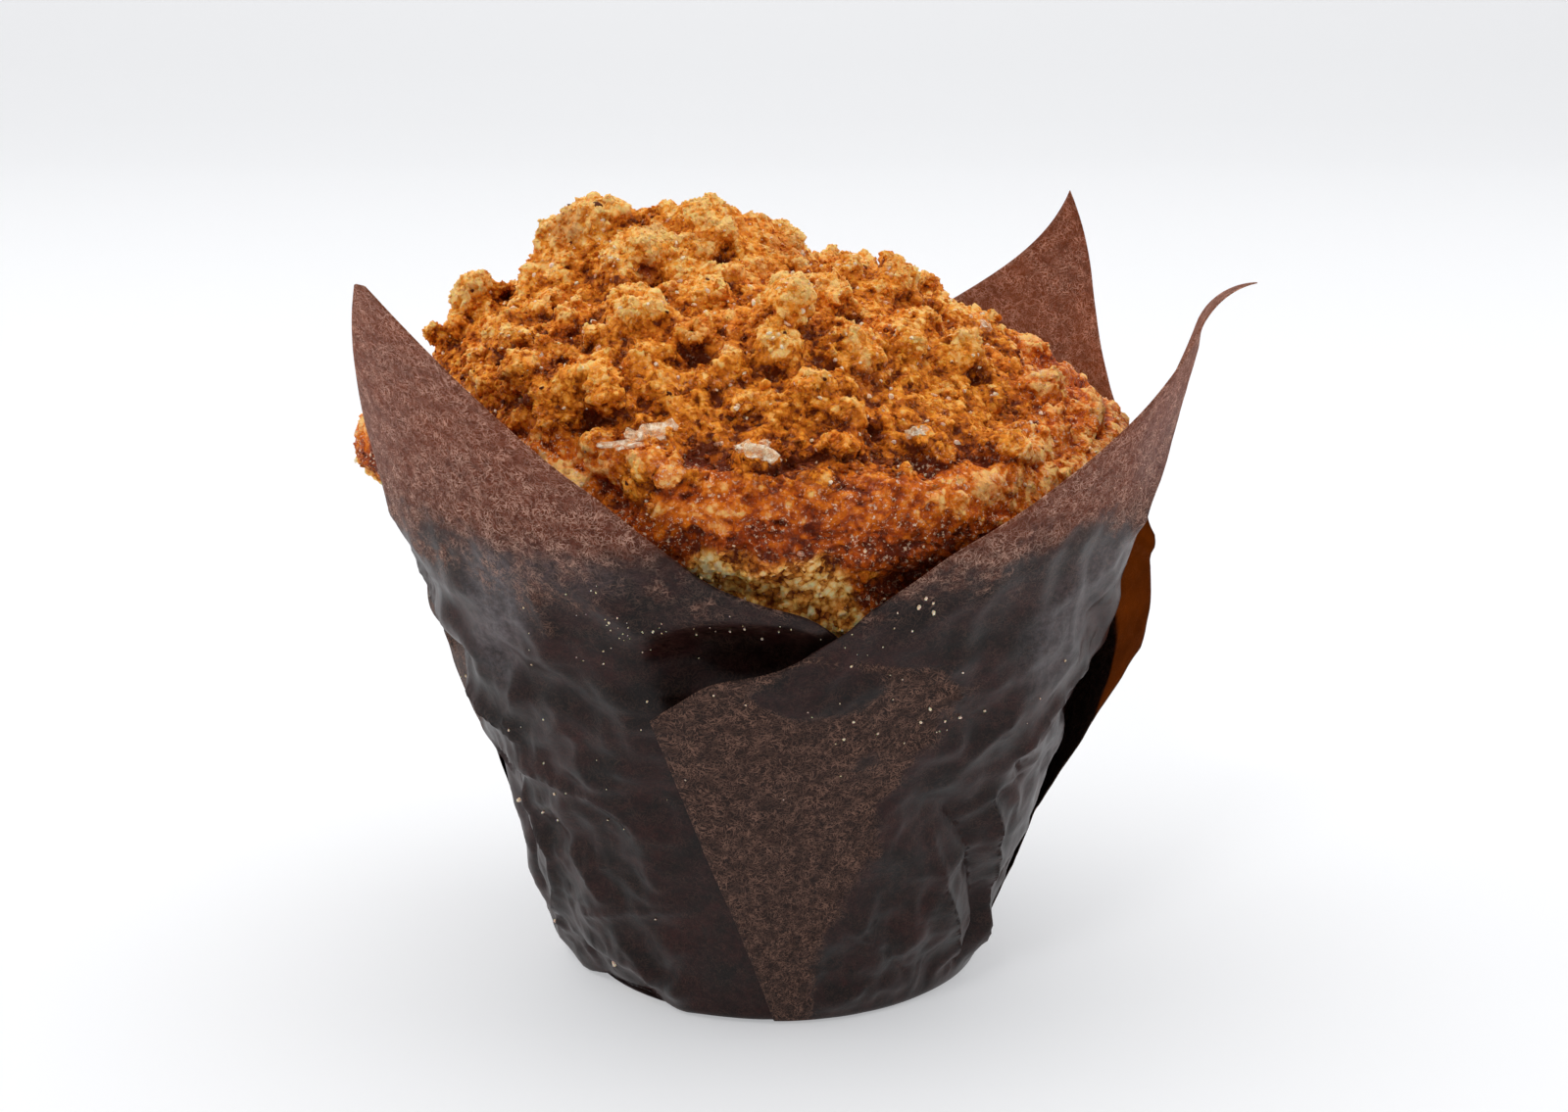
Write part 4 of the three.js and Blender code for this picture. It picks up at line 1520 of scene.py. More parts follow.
@dataclass
class Cake:
    """The baked cake: stem, crust and crumble relief in one skin, with loose crumble on it."""

    case: PaperCase
    seed: int = 7411
    core_voxel: float = 0.9
    core_smoothing: int = 10
    shrink: float = 1.3
    unevenness: float = 1.0
    chunk_count: int = 420
    chunk_tries: int = 9000
    chunk_radius: Pair = (1.1, 4.0)
    chunk_skew: float = 1.6
    chunk_spacing: float = 0.62
    placed_scale: float = 1.3
    hollow_room: float = 1.6
    chunk_voxel: float = 0.7
    nub_count: int = 8500
    voxel: float = 0.33
    face_limit: int = 195000
    cut_height: float = 46.0
    stem_gap: float = 1.9
    stem_rings: int = 3
    stem_floor: float = 1.3
    stem_foot_inset: float = 1.2
    crumble_from: Pair = (66.5, 70.0)
    crumb_below: Pair = (57.6, 59.8)
    torn_at: tuple[float, ...] = (-1.0, 104.0, 191.0, 265.0)
    paper_gap: float = 0.28
    paper_top: float = 78.0
    paper_reach: float = 3.0
    paper_touch: float = 0.35
    fine_rounds: int = 8
    broad_rounds: int = 60
    open_reach: float = 5.0
    open_rays: int = 8

    def build(self) -> Skin:
        """Builds and dresses the cake.

        Returns:
            The finished skin with its values, for the loose things that lie on it.
        """
        random = np.random.default_rng(self.seed)
        core = self._core()
        body = join_skins([core, self._chunks(core, random)])
        draft = object_from_skin("baked_muffin", body)
        remesh(draft, self.chunk_voxel)
        coarse = Skin.of(draft.data)
        whole = join_skins([coarse, self._nubs(coarse, random)])
        bpy.data.objects.remove(draft)
        piece = object_from_skin("baked_muffin", whole)
        remesh(piece, self.voxel)
        self._cut(piece)
        self._thin_out(piece)
        self._shape_relief(piece)
        self._add_stem(piece)
        skin = self._valued(piece)
        dress(piece, BakedFinish("baked_cake").make())
        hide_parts("muffin")
        return skin

    def crumble_share(self, points: np.ndarray) -> np.ndarray:
        """How much crumble covers the crust at points, from 0 to 1."""
        azimuth = np.arctan2(points[:, 0], -points[:, 1])
        uneven = 1.6 * np.sin(4.0 * azimuth) + 2.6 * soft_noise(points, 11.0, 2, 2.2)
        share = smooth(*self.crumble_from, points[:, 2] + uneven)
        for place, radius in CRUMBLE_PATCHES:
            away = np.linalg.norm(points - np.array(place), axis=1)
            share = np.maximum(share, 1.0 - smooth(0.5 * radius, radius, away))
        return share

    def crumb_share(self, points: np.ndarray) -> np.ndarray:
        """How much of the pale inner crumb shows at points, from 0 to 1."""
        azimuth = azimuth_of(points)
        apart = np.full(len(points), 180.0)
        for torn in self.torn_at:
            apart = np.minimum(apart, np.abs(turn_from(azimuth, torn)))
        uneven = 2.4 * soft_noise(points, 6.0, 2, 5.5) + 9.0 * smooth(9.5, 17.0, apart)
        return 1.0 - smooth(*self.crumb_below, points[:, 2] + uneven)

    def _core(self) -> Skin:
        """The cake's solid with its facets rounded, drawn in where chunks will lie."""
        mesh = solid_copy("muffin")
        draft = new_object("core", mesh)
        remesh(draft, self.core_voxel)
        rounding = draft.modifiers.new("Rounding", "SMOOTH")
        rounding.iterations = self.core_smoothing
        rounding.factor = 0.5
        apply_modifiers(draft)
        skin = Skin.of(draft.data)
        bpy.data.objects.remove(draft)
        normals = skin.normals()
        drawn_in = self.shrink * self.crumble_share(skin.points)
        skin.points = skin.points - normals * drawn_in[:, None]
        tree = skin.tree()
        pits = tuple((a, e, radius, -depth) for a, e, radius, depth in HOLLOWS)
        for azimuth, elevation, radius, rise in SWELLS + pits:
            seat = self._seat(tree, azimuth, elevation)
            away = np.linalg.norm(skin.points - seat, axis=1)
            outward = rise * np.exp(-((away / radius) ** 2))
            skin.points = skin.points + normals * outward[:, None]
        return skin

    @staticmethod
    def _seat(tree: BVHTree, azimuth: float, elevation: float) -> np.ndarray:
        """Outermost point of a surface in a direction from the crown's middle."""
        outward = Vector(direction_of(azimuth, elevation))
        start = Vector(CROWN_MIDDLE) + outward * OUTSIDE
        hit = tree.ray_cast(start, -outward)[0]
        return np.array(hit if hit is not None else start - outward * 50.0)

    def _chunks(self, core: Skin, random: np.random.Generator) -> Skin:
        """Crumble chunks: the placed ones first, then random ones in what is left."""
        tree = core.tree()
        normals = core.normals()
        named = PLACED_CHUNKS + tuple(chunk[:3] for chunk in PROUD_CHUNKS)
        places = [self._seat(tree, a, e) for a, e, _ in named]
        radii = [self.placed_scale * r for _, _, r in named]
        share = self.crumble_share(core.points)
        keep_out = [self._seat(tree, a, e) for a, e, _, _ in HOLLOWS]
        rooms = [self.hollow_room] * len(keep_out)
        smallest, largest = self.chunk_radius
        tries, _, _ = core.scatter(self.chunk_tries, share, random)
        for place in tries:
            radius = smallest + (largest - smallest) * random.random() ** self.chunk_skew
            others = np.array(places + keep_out)
            needed = self.chunk_spacing * (np.array(radii + rooms) + radius)
            if (np.linalg.norm(others - place, axis=1) > needed).all():
                places.append(place)
                radii.append(radius)
                if len(places) >= self.chunk_count:
                    break
        centres, sizes = np.array(places), np.array(radii)
        inward = np.array([normals[nearest_point(core, tree, c)] for c in centres])
        standing = self.shrink + self.unevenness * random.uniform(-1.0, 1.0, len(sizes))
        first = len(PLACED_CHUNKS)
        standing[first : first + len(PROUD_CHUNKS)] = [chunk[3] for chunk in PROUD_CHUNKS]
        centres = centres - inward * (sizes - standing)[:, None]
        ball = Shape.ball(3)
        spread = sizes[:, None] * random.uniform(0.8, 1.2, (len(sizes), 3))
        chunks = ball.copies(centres, spread, random, 0.0)
        radial = chunks.points - np.repeat(centres, len(ball.points), 0)
        radial /= np.linalg.norm(radial, axis=1, keepdims=True)
        craggy = 0.9 * soft_noise(chunks.points, 3.4, 3, 4.4)
        craggy += 0.42 * shard_noise(chunks.points, 2.2, 8.1)
        chunks.points = chunks.points + radial * craggy[:, None]
        LOG.info("crumble chunks: %d", len(sizes))
        return chunks

    def _nubs(self, coarse: Skin, random: np.random.Generator) -> Skin:
        """Small nubs that are fused all over the chunks, and more thinly over crust and crumb."""
        share = self.crumble_share(coarse.points)
        crumb = self.crumb_share(coarse.points)
        patches = smooth(-0.35, 0.3, soft_noise(coarse.points, 4.2, 2, 9.3))
        density = share * (0.12 + patches) + (1.0 - share) * 0.05 + 0.9 * crumb
        density *= smooth(self.cut_height - 0.5, self.cut_height + 0.5, coarse.points[:, 2])
        coarse.values = {"share": share}
        places, outward, found = coarse.scatter(self.nub_count, density, random)
        radius = 0.3 + 0.4 * random.random(len(places)) ** 2.0
        radius *= mix(0.75, 1.0, found["share"])
        centres = places + outward * (radius * random.uniform(-0.75, 0.0, len(radius)))[:, None]
        sizes = radius[:, None] * random.uniform(0.65, 1.4, (len(radius), 3))
        return Shape.crystal().copies(centres, sizes, random, 0.3)

    def _cut(self, piece: bpy.types.Object) -> None:
        """Removes what lies below the cut height, inside the case."""
        shape = bmesh.new()
        shape.from_mesh(piece.data)
        bmesh.ops.bisect_plane(
            shape,
            geom=shape.verts[:] + shape.edges[:] + shape.faces[:],
            plane_co=(0.0, 0.0, self.cut_height * MM),
            plane_no=(0.0, 0.0, 1.0),
            clear_inner=True,
        )
        shape.to_mesh(piece.data)
        shape.free()

    def _thin_out(self, piece: bpy.types.Object) -> None:
        """Merges the flattest faces until few enough are left."""
        piece.data.calc_loop_triangles()
        faces = len(piece.data.loop_triangles)
        LOG.info("crown skin: %d triangles before thinning", faces)
        if faces > self.face_limit:
            thinning = piece.modifiers.new("Thinning", "DECIMATE")
            thinning.ratio = self.face_limit / faces
            apply_modifiers(piece)

    def _shape_relief(self, piece: bpy.types.Object) -> None:
        """Adds the finest relief and keeps the skin inside the paper."""
        skin = Skin.of(piece.data)
        points, normals = skin.points, skin.normals()
        crumble, crumb = self.crumble_share(points), self.crumb_share(points)
        bare = bare_share(crumble, crumb)
        wrinkles = soft_noise(points, 2.6, 3, 7.7, Axis.ROUND_THE_CROWN)
        grainy = soft_noise(points, 0.9, 2, 1.2)
        shards = shard_noise(points, 1.4, 3.3)
        relief = bare * (0.5 * wrinkles + 0.5 * grainy + 0.3 * shards)
        relief += (1.0 - bare) * (0.2 * grainy + 0.3 * shards)
        azimuth = azimuth_of(points)
        for fold in CRUST_FOLDS:
            relief += fold.relief(azimuth, points[:, 2], CRUST_RADIUS)
        points = points + normals * relief[:, None]
        points = self._inside_paper(points)
        piece.data.vertices.foreach_set("co", (points * MM).ravel())
        piece.data.update()

    def _inside_paper(self, points: np.ndarray) -> np.ndarray:
        """Points moved inwards where they would touch a petal."""
        for skin in self.case.skins.values():
            tree = skin.tree()
            lowest, highest = skin.points.min(0) - 1.0, skin.points.max(0) + 1.0
            near = ((points > lowest) & (points < highest)).all(1)
            near &= points[:, 2] < self.paper_top
            for index in np.nonzero(near)[0]:
                point = Vector(points[index])
                found, _, _, away = tree.find_nearest(point, self.paper_reach)
                if found is None:
                    continue
                axis = Vector((CROWN_MIDDLE[0], 0.0, found.z))
                inward = (axis - found).normalized()
                offset = point - found
                depth = offset.dot(inward)
                facing = abs(depth) > 0.6 * away or away < self.paper_touch
                if facing and depth < self.paper_gap:
                    points[index] = point + inward * (self.paper_gap - depth)
        return points

    def _add_stem(self, piece: bpy.types.Object) -> None:
        """Leads the skin's open lower edge down inside the case and closes it."""
        shape = bmesh.new()
        shape.from_mesh(piece.data)
        wall = Wall()
        edges = [e for e in shape.edges if e.is_boundary]
        for ring in range(1, self.stem_rings + 1):
            height = mix(self.cut_height, self.stem_floor, ring / self.stem_rings)
            inset = self.stem_foot_inset if height <= self.stem_floor else 0.0
            made = bmesh.ops.extrude_edge_only(shape, edges=edges)["geom"]
            rim = float(wall.radius(height)) - self.stem_gap - inset
            shift = float(wall.shift(height))
            for vertex in (g for g in made if isinstance(g, bmesh.types.BMVert)):
                azimuth = math.atan2(vertex.co.x / MM - shift, -vertex.co.y / MM)
                vertex.co.x = (shift + rim * math.sin(azimuth)) * MM
                vertex.co.y = -rim * math.cos(azimuth) * MM
                vertex.co.z = height * MM
            edges = [g for g in made if isinstance(g, bmesh.types.BMEdge)]
        bmesh.ops.holes_fill(shape, edges=edges, sides=0)
        bmesh.ops.triangulate(shape, faces=[f for f in shape.faces if len(f.verts) > 4])
        bmesh.ops.recalc_face_normals(shape, faces=shape.faces[:])
        shape.to_mesh(piece.data)
        shape.free()
        piece.data.shade_smooth()

    def _near_spots(self, skin: Skin, spots: Sequence[tuple[float, ...]]) -> np.ndarray:
        """How close points are to any of some spots.

        Args:
            skin: the crown's surface.
            spots: azimuth, elevation, radius and strength of each. A strength over 1, such as a
                hollow's depth, counts as 1.

        Returns:
            0 away from all spots to its strength in the middle of one.
        """
        tree = skin.tree()
        share = np.zeros(len(skin.points))
        for azimuth, elevation, radius, strength in spots:
            seat = self._seat(tree, azimuth, elevation)
            away = np.linalg.norm(skin.points - seat, axis=1) / radius
            share = np.maximum(share, min(strength, 1.0) * np.exp(-(away**4)))
        return share

    def _valued(self, piece: bpy.types.Object) -> Skin:
        """Stores on the mesh what each point is made of, and a tone from how high it stands that
        holds painted light and shade.
        """
        skin = Skin.of(piece.data)
        normals = skin.normals()
        # Peaks stand above their relaxed copy and crevices below it.
        fine, broad = (
            ((skin.points - skin.relaxed(rounds)) * normals).sum(1)
            for rounds in (self.fine_rounds, self.broad_rounds)
        )
        across, up = np.abs(skin.points[:, 0]), skin.points[:, 2]
        # Tone: peaks lighter and crevices darker, partly the crumble's own tone and partly painted
        # light and painted shade; the top of the crown lighter still, a painted light.
        height = 0.48 + 0.27 * fine + 0.18 * broad + 0.26 * smooth(69.0, 86.0, up)
        flank = smooth(25.5, 29.0, skin.points[:, 0] + 2.4 * soft_noise(skin.points, 5.0, 2, 6.3))
        crumble = self.crumble_share(skin.points) * (1.0 - flank)
        crumb = self.crumb_share(skin.points)
        bare = bare_share(crumble, crumb)
        # Bare crust lighter towards both flanks.
        height = height + 0.2 * bare * smooth(9.0, 24.0, across) * smooth(59.0, 63.0, up)
        # Painted shade: the bare crust darker in its lowest band, near the paper's rim.
        low = 1.0 - smooth(58.0, 64.0, up)
        height = mix(np.clip(height, 0.0, 1.0), 0.15, 0.76 * bare * low)
        # Painted shade: darker in the hollows.
        height = height - 0.14 * self._near_spots(skin, HOLLOWS)
        random = np.random.default_rng(self.seed + 1)
        skin.values = {
            "crumble": crumble,
            "crumb": crumb,
            "height": height,
            # How open each point is, which the finish turns into painted shade in pits.
            "open": skin.openness(self.open_reach, self.open_rays, random),
            "scorched": self._near_spots(skin, SCORCHED),
        }
        add_values(piece.data, skin.values)
        return skin


def nearest_point(skin: Skin, tree: BVHTree, place: np.ndarray) -> int:
    """Index of a point of the skin close to a place."""
    _, _, face, _ = tree.find_nearest(Vector(place))
    return int(skin.triangles[face][0])


def solid_copy(node: str) -> bpy.types.Mesh:
    """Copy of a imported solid's mesh with its loose triangles merged."""
    shape = bmesh.new()
    shape.from_mesh(bpy.data.objects[node].data)
    bmesh.ops.remove_doubles(shape, verts=shape.verts[:], dist=1e-6)
    mesh = bpy.data.meshes.new("core")
    shape.to_mesh(mesh)
    shape.free()
    return mesh


@dataclass(frozen=True)
class LooseCrumble:
    """One kind of loose crumb on the crown."""

    name: str
    count: int
    radius: Pair
    subdivisions: int
    on_crumble: float
    on_crust: float
    on_crumb: float
    seed: int
    raise_by: float = 0.2
    rough: float = 0.3

    def build(self, skin: Skin, case: PaperCase, material: bpy.types.Material) -> None:
        """Scatters the crumbs over the cake's skin.

        Args:
            skin: the cake's skin with its values.
            case: the paper case, which the crumbs keep clear of.
            material: the crumbs' finish.
        """
        random = np.random.default_rng(self.seed)
        crumble, crumb = skin.values["crumble"], skin.values["crumb"]
        bare = bare_share(crumble, crumb)
        patches = smooth(-0.35, 0.35, soft_noise(skin.points, 4.0, 2, self.seed * 0.01))
        standing = 0.35 + skin.values["height"]
        density = self.on_crumble * crumble + (self.on_crust * bare + self.on_crumb * crumb) * patches
        density = density * standing * smooth(46.5, 47.5, skin.points[:, 2])
        places, outward, values = skin.scatter(self.count, density, random)
        low, high = self.radius
        radius = low + (high - low) * random.random(self.count) ** 1.7
        places = places + outward * (radius * self.raise_by)[:, None]
        clear = clear_of_paper(places, radius, case)
        places, radius = places[clear], radius[clear]
        values = {name: value[clear] for name, value in values.items()}
        values["tint"] = random.random(len(radius)) * np.where(radius > 0.4, 0.93, 1.0)
        sizes = radius[:, None] * random.uniform(0.62, 1.38, (len(radius), 3))
        joined = Shape.ball(self.subdivisions).copies(places, sizes, random, self.rough, values)
        dress(object_from_skin(self.name, joined, self.subdivisions > 1), material)


def clear_of_paper(
    places: np.ndarray,
    radius: np.ndarray,
    case: PaperCase,
    top: float = 80.0,
    reach: float = 2.5,
    gap: float = 0.12,
    outside_gap: float = 1.6,
) -> np.ndarray:
    """Which crumbs keep clear of the paper.

    Args:
        places: middle of each crumb.
        radius: its half width.
        case: the paper case.
        top: height above which nothing is near the paper.
        reach: how far from a crumb the paper is looked for.
        gap: room left between a crumb and the paper.
        outside_gap: least distance from the paper of a crumb outside the case.

    Returns:
        True for each crumb that is clear.
    """
    clear = np.ones(len(places), bool)
    for skin in case.skins.values():
        tree = skin.tree()
        for index in np.nonzero(clear & (places[:, 2] < top))[0]:
            point = Vector(places[index])
            found, _, _, away = tree.find_nearest(point, reach)
            if found is None:
                continue
            inward = (Vector((0.0, 0.0, found.z)) - found).normalized()
            outside = (point - found).dot(inward) < 0.0
            if away < radius[index] + gap or (outside and away < outside_gap):
                clear[index] = False
    return clear


LOOSE_CRUMBLE = (
    LooseCrumble("amber_lumps", 110, (0.6, 1.1), 2, 1.0, 0.02, 0.1, 227, -0.45, 0.16),
    LooseCrumble("crumble_nuggets", 1500, (0.3, 0.55), 1, 1.0, 0.03, 0.3, 311, -0.35),
    LooseCrumble("crumble_grains", 9500, (0.2, 0.38), 1, 1.0, 0.12, 1.0, 523, -0.2),
    LooseCrumble("fine_crumble", 9800, (0.11, 0.24), 1, 0.9, 0.45, 1.6, 677, 0.1),
)


@dataclass(frozen=True)
class Flake:
    """One coarse sugar flake: where it lies, its half widths, and how it is turned."""

    azimuth: float
    elevation: float
    sizes: Triple
    turn: float
    tilt: float


@dataclass
class Sugar:
    """Coarse sugar flakes and fine glinting grit on the crust."""

    flakes: tuple[Flake, ...] = (
        Flake(-17.6, 15.2, (1.5, 0.9, 0.5), 10.0, 0.5),
        Flake(-15.8, 16.2, (0.9, 0.8, 0.45), 40.0, 0.7),
        Flake(-20.0, 14.6, (1.1, 0.5, 0.4), -20.0, 0.4),
        Flake(-22.0, 13.4, (2.2, 0.35, 0.3), 8.0, 0.2),
        Flake(-19.8, 13.2, (1.6, 0.25, 0.25), 14.0, 0.1),
        Flake(-1.5, 13.0, (1.2, 0.7, 0.45), -12.0, 0.3),
        Flake(-3.2, 13.7, (0.9, 0.6, 0.4), 30.0, 0.6),
        Flake(0.6, 12.5, (0.8, 0.6, 0.4), -40.0, 0.5),
        Flake(-0.4, 14.2, (0.7, 0.5, 0.4), 15.0, 0.2),
        Flake(26.0, 15.0, (1.3, 0.6, 0.45), 0.0, 0.4),
        Flake(81.0, 32.0, (0.8, 0.7, 0.5), 20.0, 0.4),
        Flake(158.0, 17.0, (1.7, 1.0, 0.5), 20.0, 0.4),
        Flake(231.0, 20.0, (1.5, 1.1, 0.5), -30.0, 0.3),
    )
    grit_count: int = 320
    seed: int = 90210
    ray_start: float = 80.0

    def build(self, skin: Skin, case: PaperCase) -> None:
        """Builds the flakes and the grit on the cake's skin."""
        material = SugarFinish("coarse_sugar").make()
        tree = skin.tree()
        random = np.random.default_rng(self.seed)
        parts = [self._flake(flake, tree, random) for flake in self.flakes]
        dress(object_from_skin("sugar_flakes", join_skins(parts), False), material)
        crumble, crumb = skin.values["crumble"], skin.values["crumb"]
        bare = bare_share(crumble, crumb)
        patches = smooth(-0.2, 0.5, soft_noise(skin.points, 5.0, 2, 4.1))
        density = bare * (0.15 + 1.2 * patches) + 0.05 * crumble + 0.1 * crumb
        density = density * smooth(50.0, 52.0, skin.points[:, 2])
        places, outward, _ = skin.scatter(self.grit_count, density, random)
        radius = 0.05 + 0.11 * random.random(len(places)) ** 2
        clear = clear_of_paper(places, radius, case)
        places, outward, radius = places[clear], outward[clear], radius[clear]
        sizes = radius[:, None] * random.uniform(0.5, 1.9, (len(radius), 3))
        grit = Shape.crystal().copies(places + outward * 0.05, sizes, random, 0.08)
        whiter = SugarFinish("sugar_grit", 0.95, colour(255, 214, 172), colour(255, 230, 198)).make()
        dress(object_from_skin("sugar_grit", grit, False), whiter)

    def _flake(self, flake: Flake, tree: BVHTree, random: np.random.Generator) -> Skin:
        """One flake: a broken plate that lies on the skin."""
        outward = Vector(direction_of(flake.azimuth, flake.elevation))
        start = Vector(CROWN_MIDDLE) + outward * self.ray_start
        seat = tree.ray_cast(start, -outward)[0]
        lean = (outward + Vector((0.0, 0.0, flake.tilt))).normalized()
        across = Vector((0.0, 0.0, 1.0)).cross(lean).normalized()
        up = lean.cross(across)
        turn = math.radians(flake.turn)
        first = across * math.cos(turn) + up * math.sin(turn)
        second = lean.cross(first)
        shape = Shape.ball(2)
        push = 1.0 + 0.3 * random.uniform(-1.0, 1.0, (len(shape.points), 1))
        local = np.sign(shape.points) * np.abs(shape.points) ** 0.55 * push
        local = local * np.array(flake.sizes)
        frame = np.array((first, second, lean))
        points = local @ frame + np.array(seat) + np.array(lean) * flake.sizes[2] * 0.5
        return Skin(points, shape.triangles)


@dataclass(frozen=True)
class Sprinkle:
    """A cluster of stray crumbs: its middle, its spread, how many and how large they are."""

    azimuth: float
    height: float
    spread: Pair
    count: int
    radius: Pair


@dataclass
class StrayCrumbs:
    """Tiny pale crumbs that cling to the outside of the paper."""

    seed: int = 1999
    lowest: float = 2.0
    inmost: float = 20.0
    sprinkles: tuple[Sprinkle, ...] = (
        Sprinkle(-21.0, 51.5, (2.6, 1.1), 18, (0.06, 0.15)),
        Sprinkle(-24.0, 52.5, (7.0, 2.4), 12, (0.05, 0.11)),
        Sprinkle(-5.0, 51.5, (5.0, 1.0), 9, (0.06, 0.14)),
        Sprinkle(9.0, 51.5, (5.0, 1.4), 12, (0.06, 0.16)),
        Sprinkle(20.0, 54.0, (3.0, 1.0), 4, (0.18, 0.3)),
        Sprinkle(14.0, 42.0, (14.0, 6.0), 22, (0.07, 0.16)),
        Sprinkle(30.0, 40.0, (3.0, 2.0), 8, (0.08, 0.2)),
        Sprinkle(-24.0, 40.0, (13.0, 8.0), 22, (0.07, 0.15)),
        Sprinkle(-50.0, 22.0, (9.0, 7.0), 7, (0.14, 0.3)),
        Sprinkle(-66.0, 7.0, (2.0, 0.6), 1, (0.3, 0.4)),
        Sprinkle(-43.0, 5.5, (1.0, 0.5), 1, (0.36, 0.45)),
        Sprinkle(170.0, 45.0, (60.0, 12.0), 40, (0.07, 0.22)),
    )

    def build(self, case: PaperCase, material: bpy.types.Material) -> None:
        """Scatters the crumbs of every cluster over the paper that lies outermost there."""
        random = np.random.default_rng(self.seed)
        trees = [skin.tree() for skin in case.skins.values()]
        places, sizes = [], []
        for sprinkle in self.sprinkles:
            for _ in range(sprinkle.count):
                azimuth = sprinkle.azimuth + sprinkle.spread[0] * random.normal()
                height = sprinkle.height + sprinkle.spread[1] * random.normal()
                low, high = sprinkle.radius
                radius = low + (high - low) * random.random() ** 2
                out = Vector(direction_of(azimuth, 0.0))
                start = out * OUTSIDE + Vector((0.0, 0.0, max(height, self.lowest)))
                hits = [tree.ray_cast(start, -out) for tree in trees]
                hits = [hit for hit in hits if hit[0] is not None and hit[0].dot(out) > self.inmost]
                if hits:
                    seat, normal, _, _ = min(hits, key=lambda hit: hit[3])
                    places.append(seat + normal * radius * 0.45)
                    sizes.append(radius)
        count = len(sizes)
        values = {
            "tint": 0.97 + 0.03 * random.random(count),
            "crumble": np.zeros(count),
            "crumb": np.full(count, 0.6),
            "height": np.full(count, 0.95),
            "open": np.ones(count),
        }
        spread = np.array(sizes)[:, None] * random.uniform(0.6, 1.4, (count, 3))
        joined = Shape.ball(1).copies(np.array(places), spread, random, 0.3, values)
        dress(object_from_skin("stray_crumbs", joined, False), material)


# ------------------------
# Studio
# ------------------------


@dataclass(frozen=True)
class SoftLight:
    """One soft lamp: place and aim in metres, size in metres and power in watts."""

    name: str
    place: Triple
    aim: Triple
    size: Pair
    power: float

    def build(self) -> None:
        """Adds the lamp to the scene."""
        data = bpy.data.lights.new(self.name, "AREA")
        data.shape = "RECTANGLE"
        data.size, data.size_y = self.size
        data.energy = self.power
        lamp = new_object(self.name, data)
        lamp.location = self.place
        aim = Vector(self.aim) - Vector(self.place)
        lamp.rotation_euler = aim.to_track_quat("-Z", "Y").to_euler()


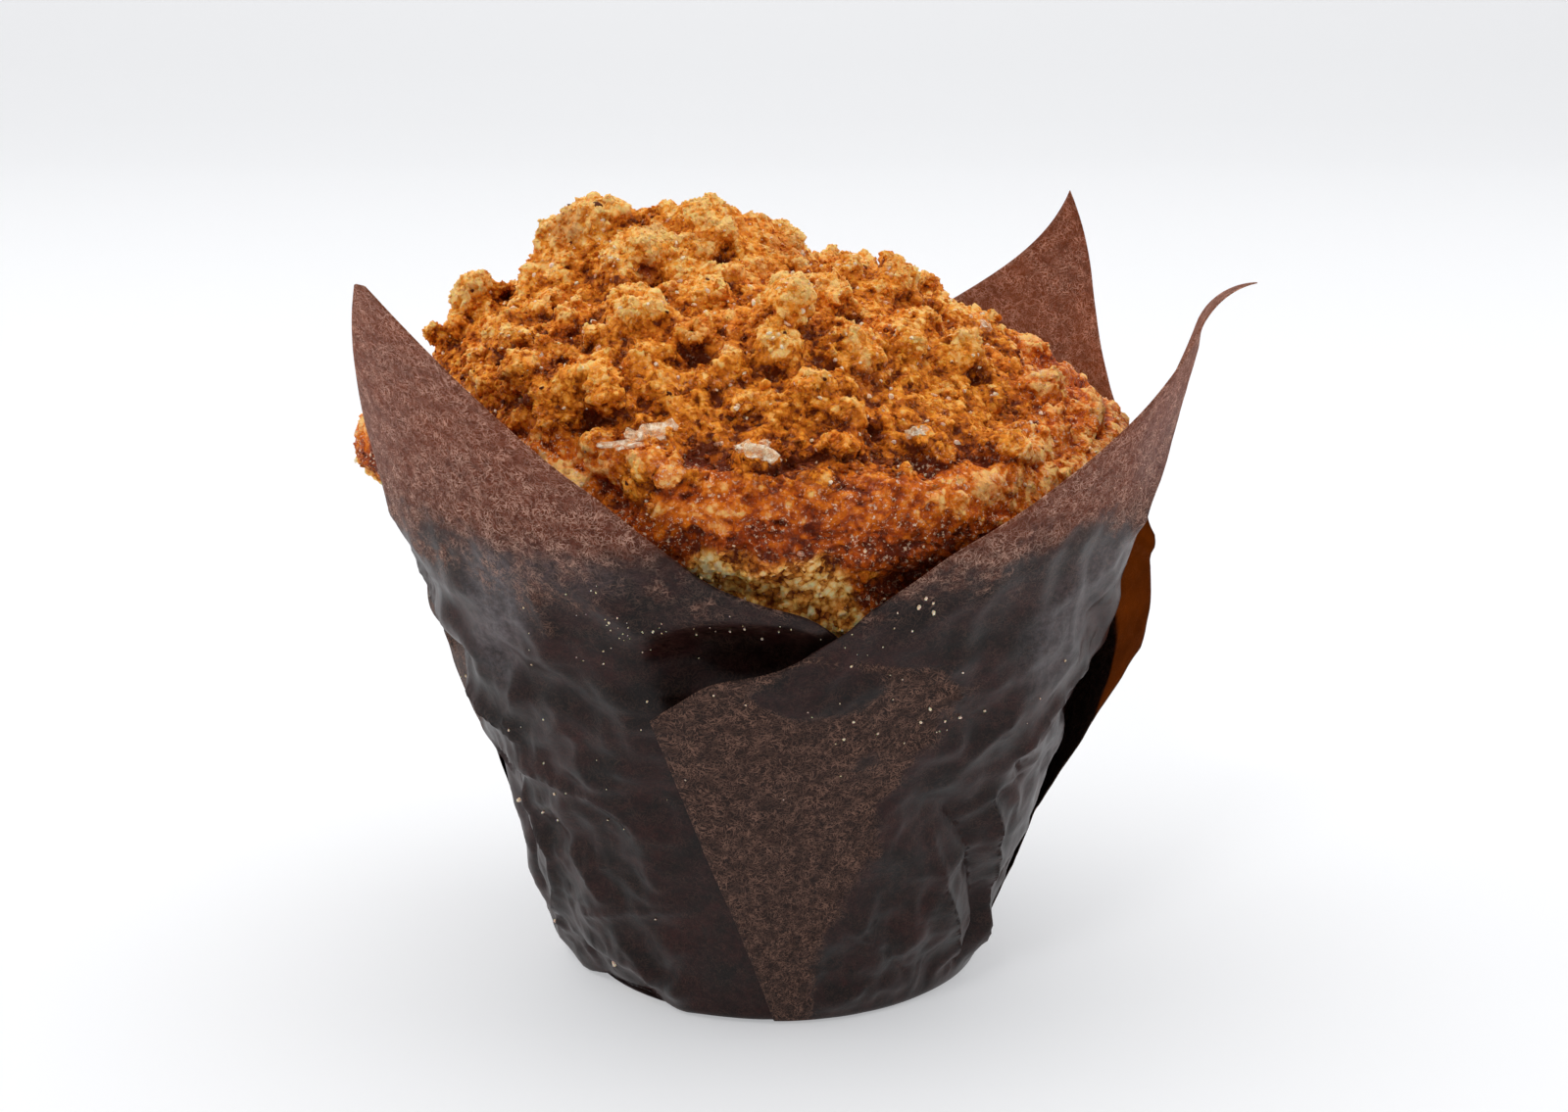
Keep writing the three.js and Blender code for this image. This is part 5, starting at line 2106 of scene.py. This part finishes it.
@dataclass
class Studio:
    """White sweep, soft lamps and the camera, in metres."""

    lamps: tuple[SoftLight, ...] = (
        SoftLight("overhead", (0.0, 0.1, 1.1), (0.0, 0.0, 0.05), (1.25, 1.05), 6.1),
        SoftLight("left", (-0.95, 0.05, 0.5), (0.0, 0.0, 0.05), (0.9, 0.7), 2.8),
        SoftLight("right", (0.95, 0.1, 0.45), (0.0, 0.0, 0.05), (0.8, 0.6), 2.0),
        SoftLight("front", (-0.22, -0.6, 0.75), (0.0, 0.0, 0.06), (0.16, 0.16), 1.3),
    )
    ambience: Pair = (0.28, 0.92)
    ambience_tint: Colour = (0.985, 0.99, 1.0, 1.0)
    sweep_front: float = -2.0
    sweep_back: float = 0.9
    sweep_height: float = 1.2
    sweep_radius: float = 0.5
    sweep_width: float = 6.0
    sensor: float = 36.0
    lens: float = 54.0
    camera_place: Triple = (0.0, -0.268, 0.1215)
    camera_pitch: float = 15.3
    camera_yaw: float = 0.24

    def build(self) -> None:
        """Builds the studio."""
        self._sweep()
        for lamp in self.lamps:
            lamp.build()
        world = bpy.data.worlds.new("studio")
        world.use_nodes = True
        self._room_light(world.node_tree)
        scene = bpy.context.scene
        scene.world = world
        scene.view_settings.view_transform = "Standard"
        self._camera()

    def _room_light(self, tree: bpy.types.NodeTree) -> None:
        """Soft light from all round, brighter from the back than from the front."""
        background = tree.nodes["Background"]
        background.inputs["Color"].default_value = self.ambience_tint
        direction = tree.nodes.new("ShaderNodeTexCoord")
        parts = tree.nodes.new("ShaderNodeSeparateXYZ")
        level = tree.nodes.new("ShaderNodeMapRange")
        level.interpolation_type = "SMOOTHSTEP"
        for key, value in (("From Min", -1.0), ("From Max", 1.0)):
            level.inputs[key].default_value = value
        for key, value in zip(("To Min", "To Max"), self.ambience):
            level.inputs[key].default_value = value
        tree.links.new(direction.outputs["Generated"], parts.inputs[0])
        tree.links.new(parts.outputs["Y"], level.inputs["Value"])
        tree.links.new(level.outputs["Result"], background.inputs["Strength"])

    def _sweep(self) -> None:
        """Floor that turns up into a backdrop."""
        shape = bmesh.new()
        bmesh.ops.create_grid(shape, x_segments=2, y_segments=60, size=0.5)
        arc = self.sweep_radius * math.pi / 2.0
        run = self.sweep_back - self.sweep_front
        length = run + arc + self.sweep_height
        for vertex in shape.verts:
            along = (vertex.co.y + 0.5) * length
            vertex.co.x *= self.sweep_width
            angle = min(max(along - run, 0.0), arc) / self.sweep_radius
            vertex.co.y = self.sweep_front + min(along, run) + self.sweep_radius * math.sin(angle)
            vertex.co.z = self.sweep_radius * (1.0 - math.cos(angle)) + max(0.0, along - run - arc)
        floor = object_from_bmesh("studio_sweep", shape)
        rise = smooth(0.0, 0.25, np.array([vertex.co.z for vertex in floor.data.vertices]))
        add_values(floor.data, {"rise": rise})
        floor.data.materials.append(FloorFinish("studio_white").make())

    def _camera(self) -> None:
        """Camera at the eye of somebody who leans over the table."""
        data = bpy.data.cameras.new("camera")
        data.lens = self.lens
        data.sensor_width = self.sensor
        data.clip_start = 0.01
        camera = new_object("camera", data)
        camera.location = self.camera_place
        turn = (math.radians(90.0 - self.camera_pitch), 0.0, math.radians(-self.camera_yaw))
        camera.rotation_euler = turn
        bpy.context.scene.camera = camera


def main() -> None:
    """Builds the muffin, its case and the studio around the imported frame."""
    logging.basicConfig(level=logging.INFO, format="%(name)s: %(message)s")
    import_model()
    case = PaperCase()
    case.build()
    skin = Cake(case).build()
    grain = BakedFinish("loose_crumble", glow_depth=0.16, grain=True).make()
    for kind in LOOSE_CRUMBLE:
        kind.build(skin, case, grain)
    Sugar().build(skin, case)
    StrayCrumbs().build(case, grain)
    Studio().build()


if __name__ == "__main__":
    main()
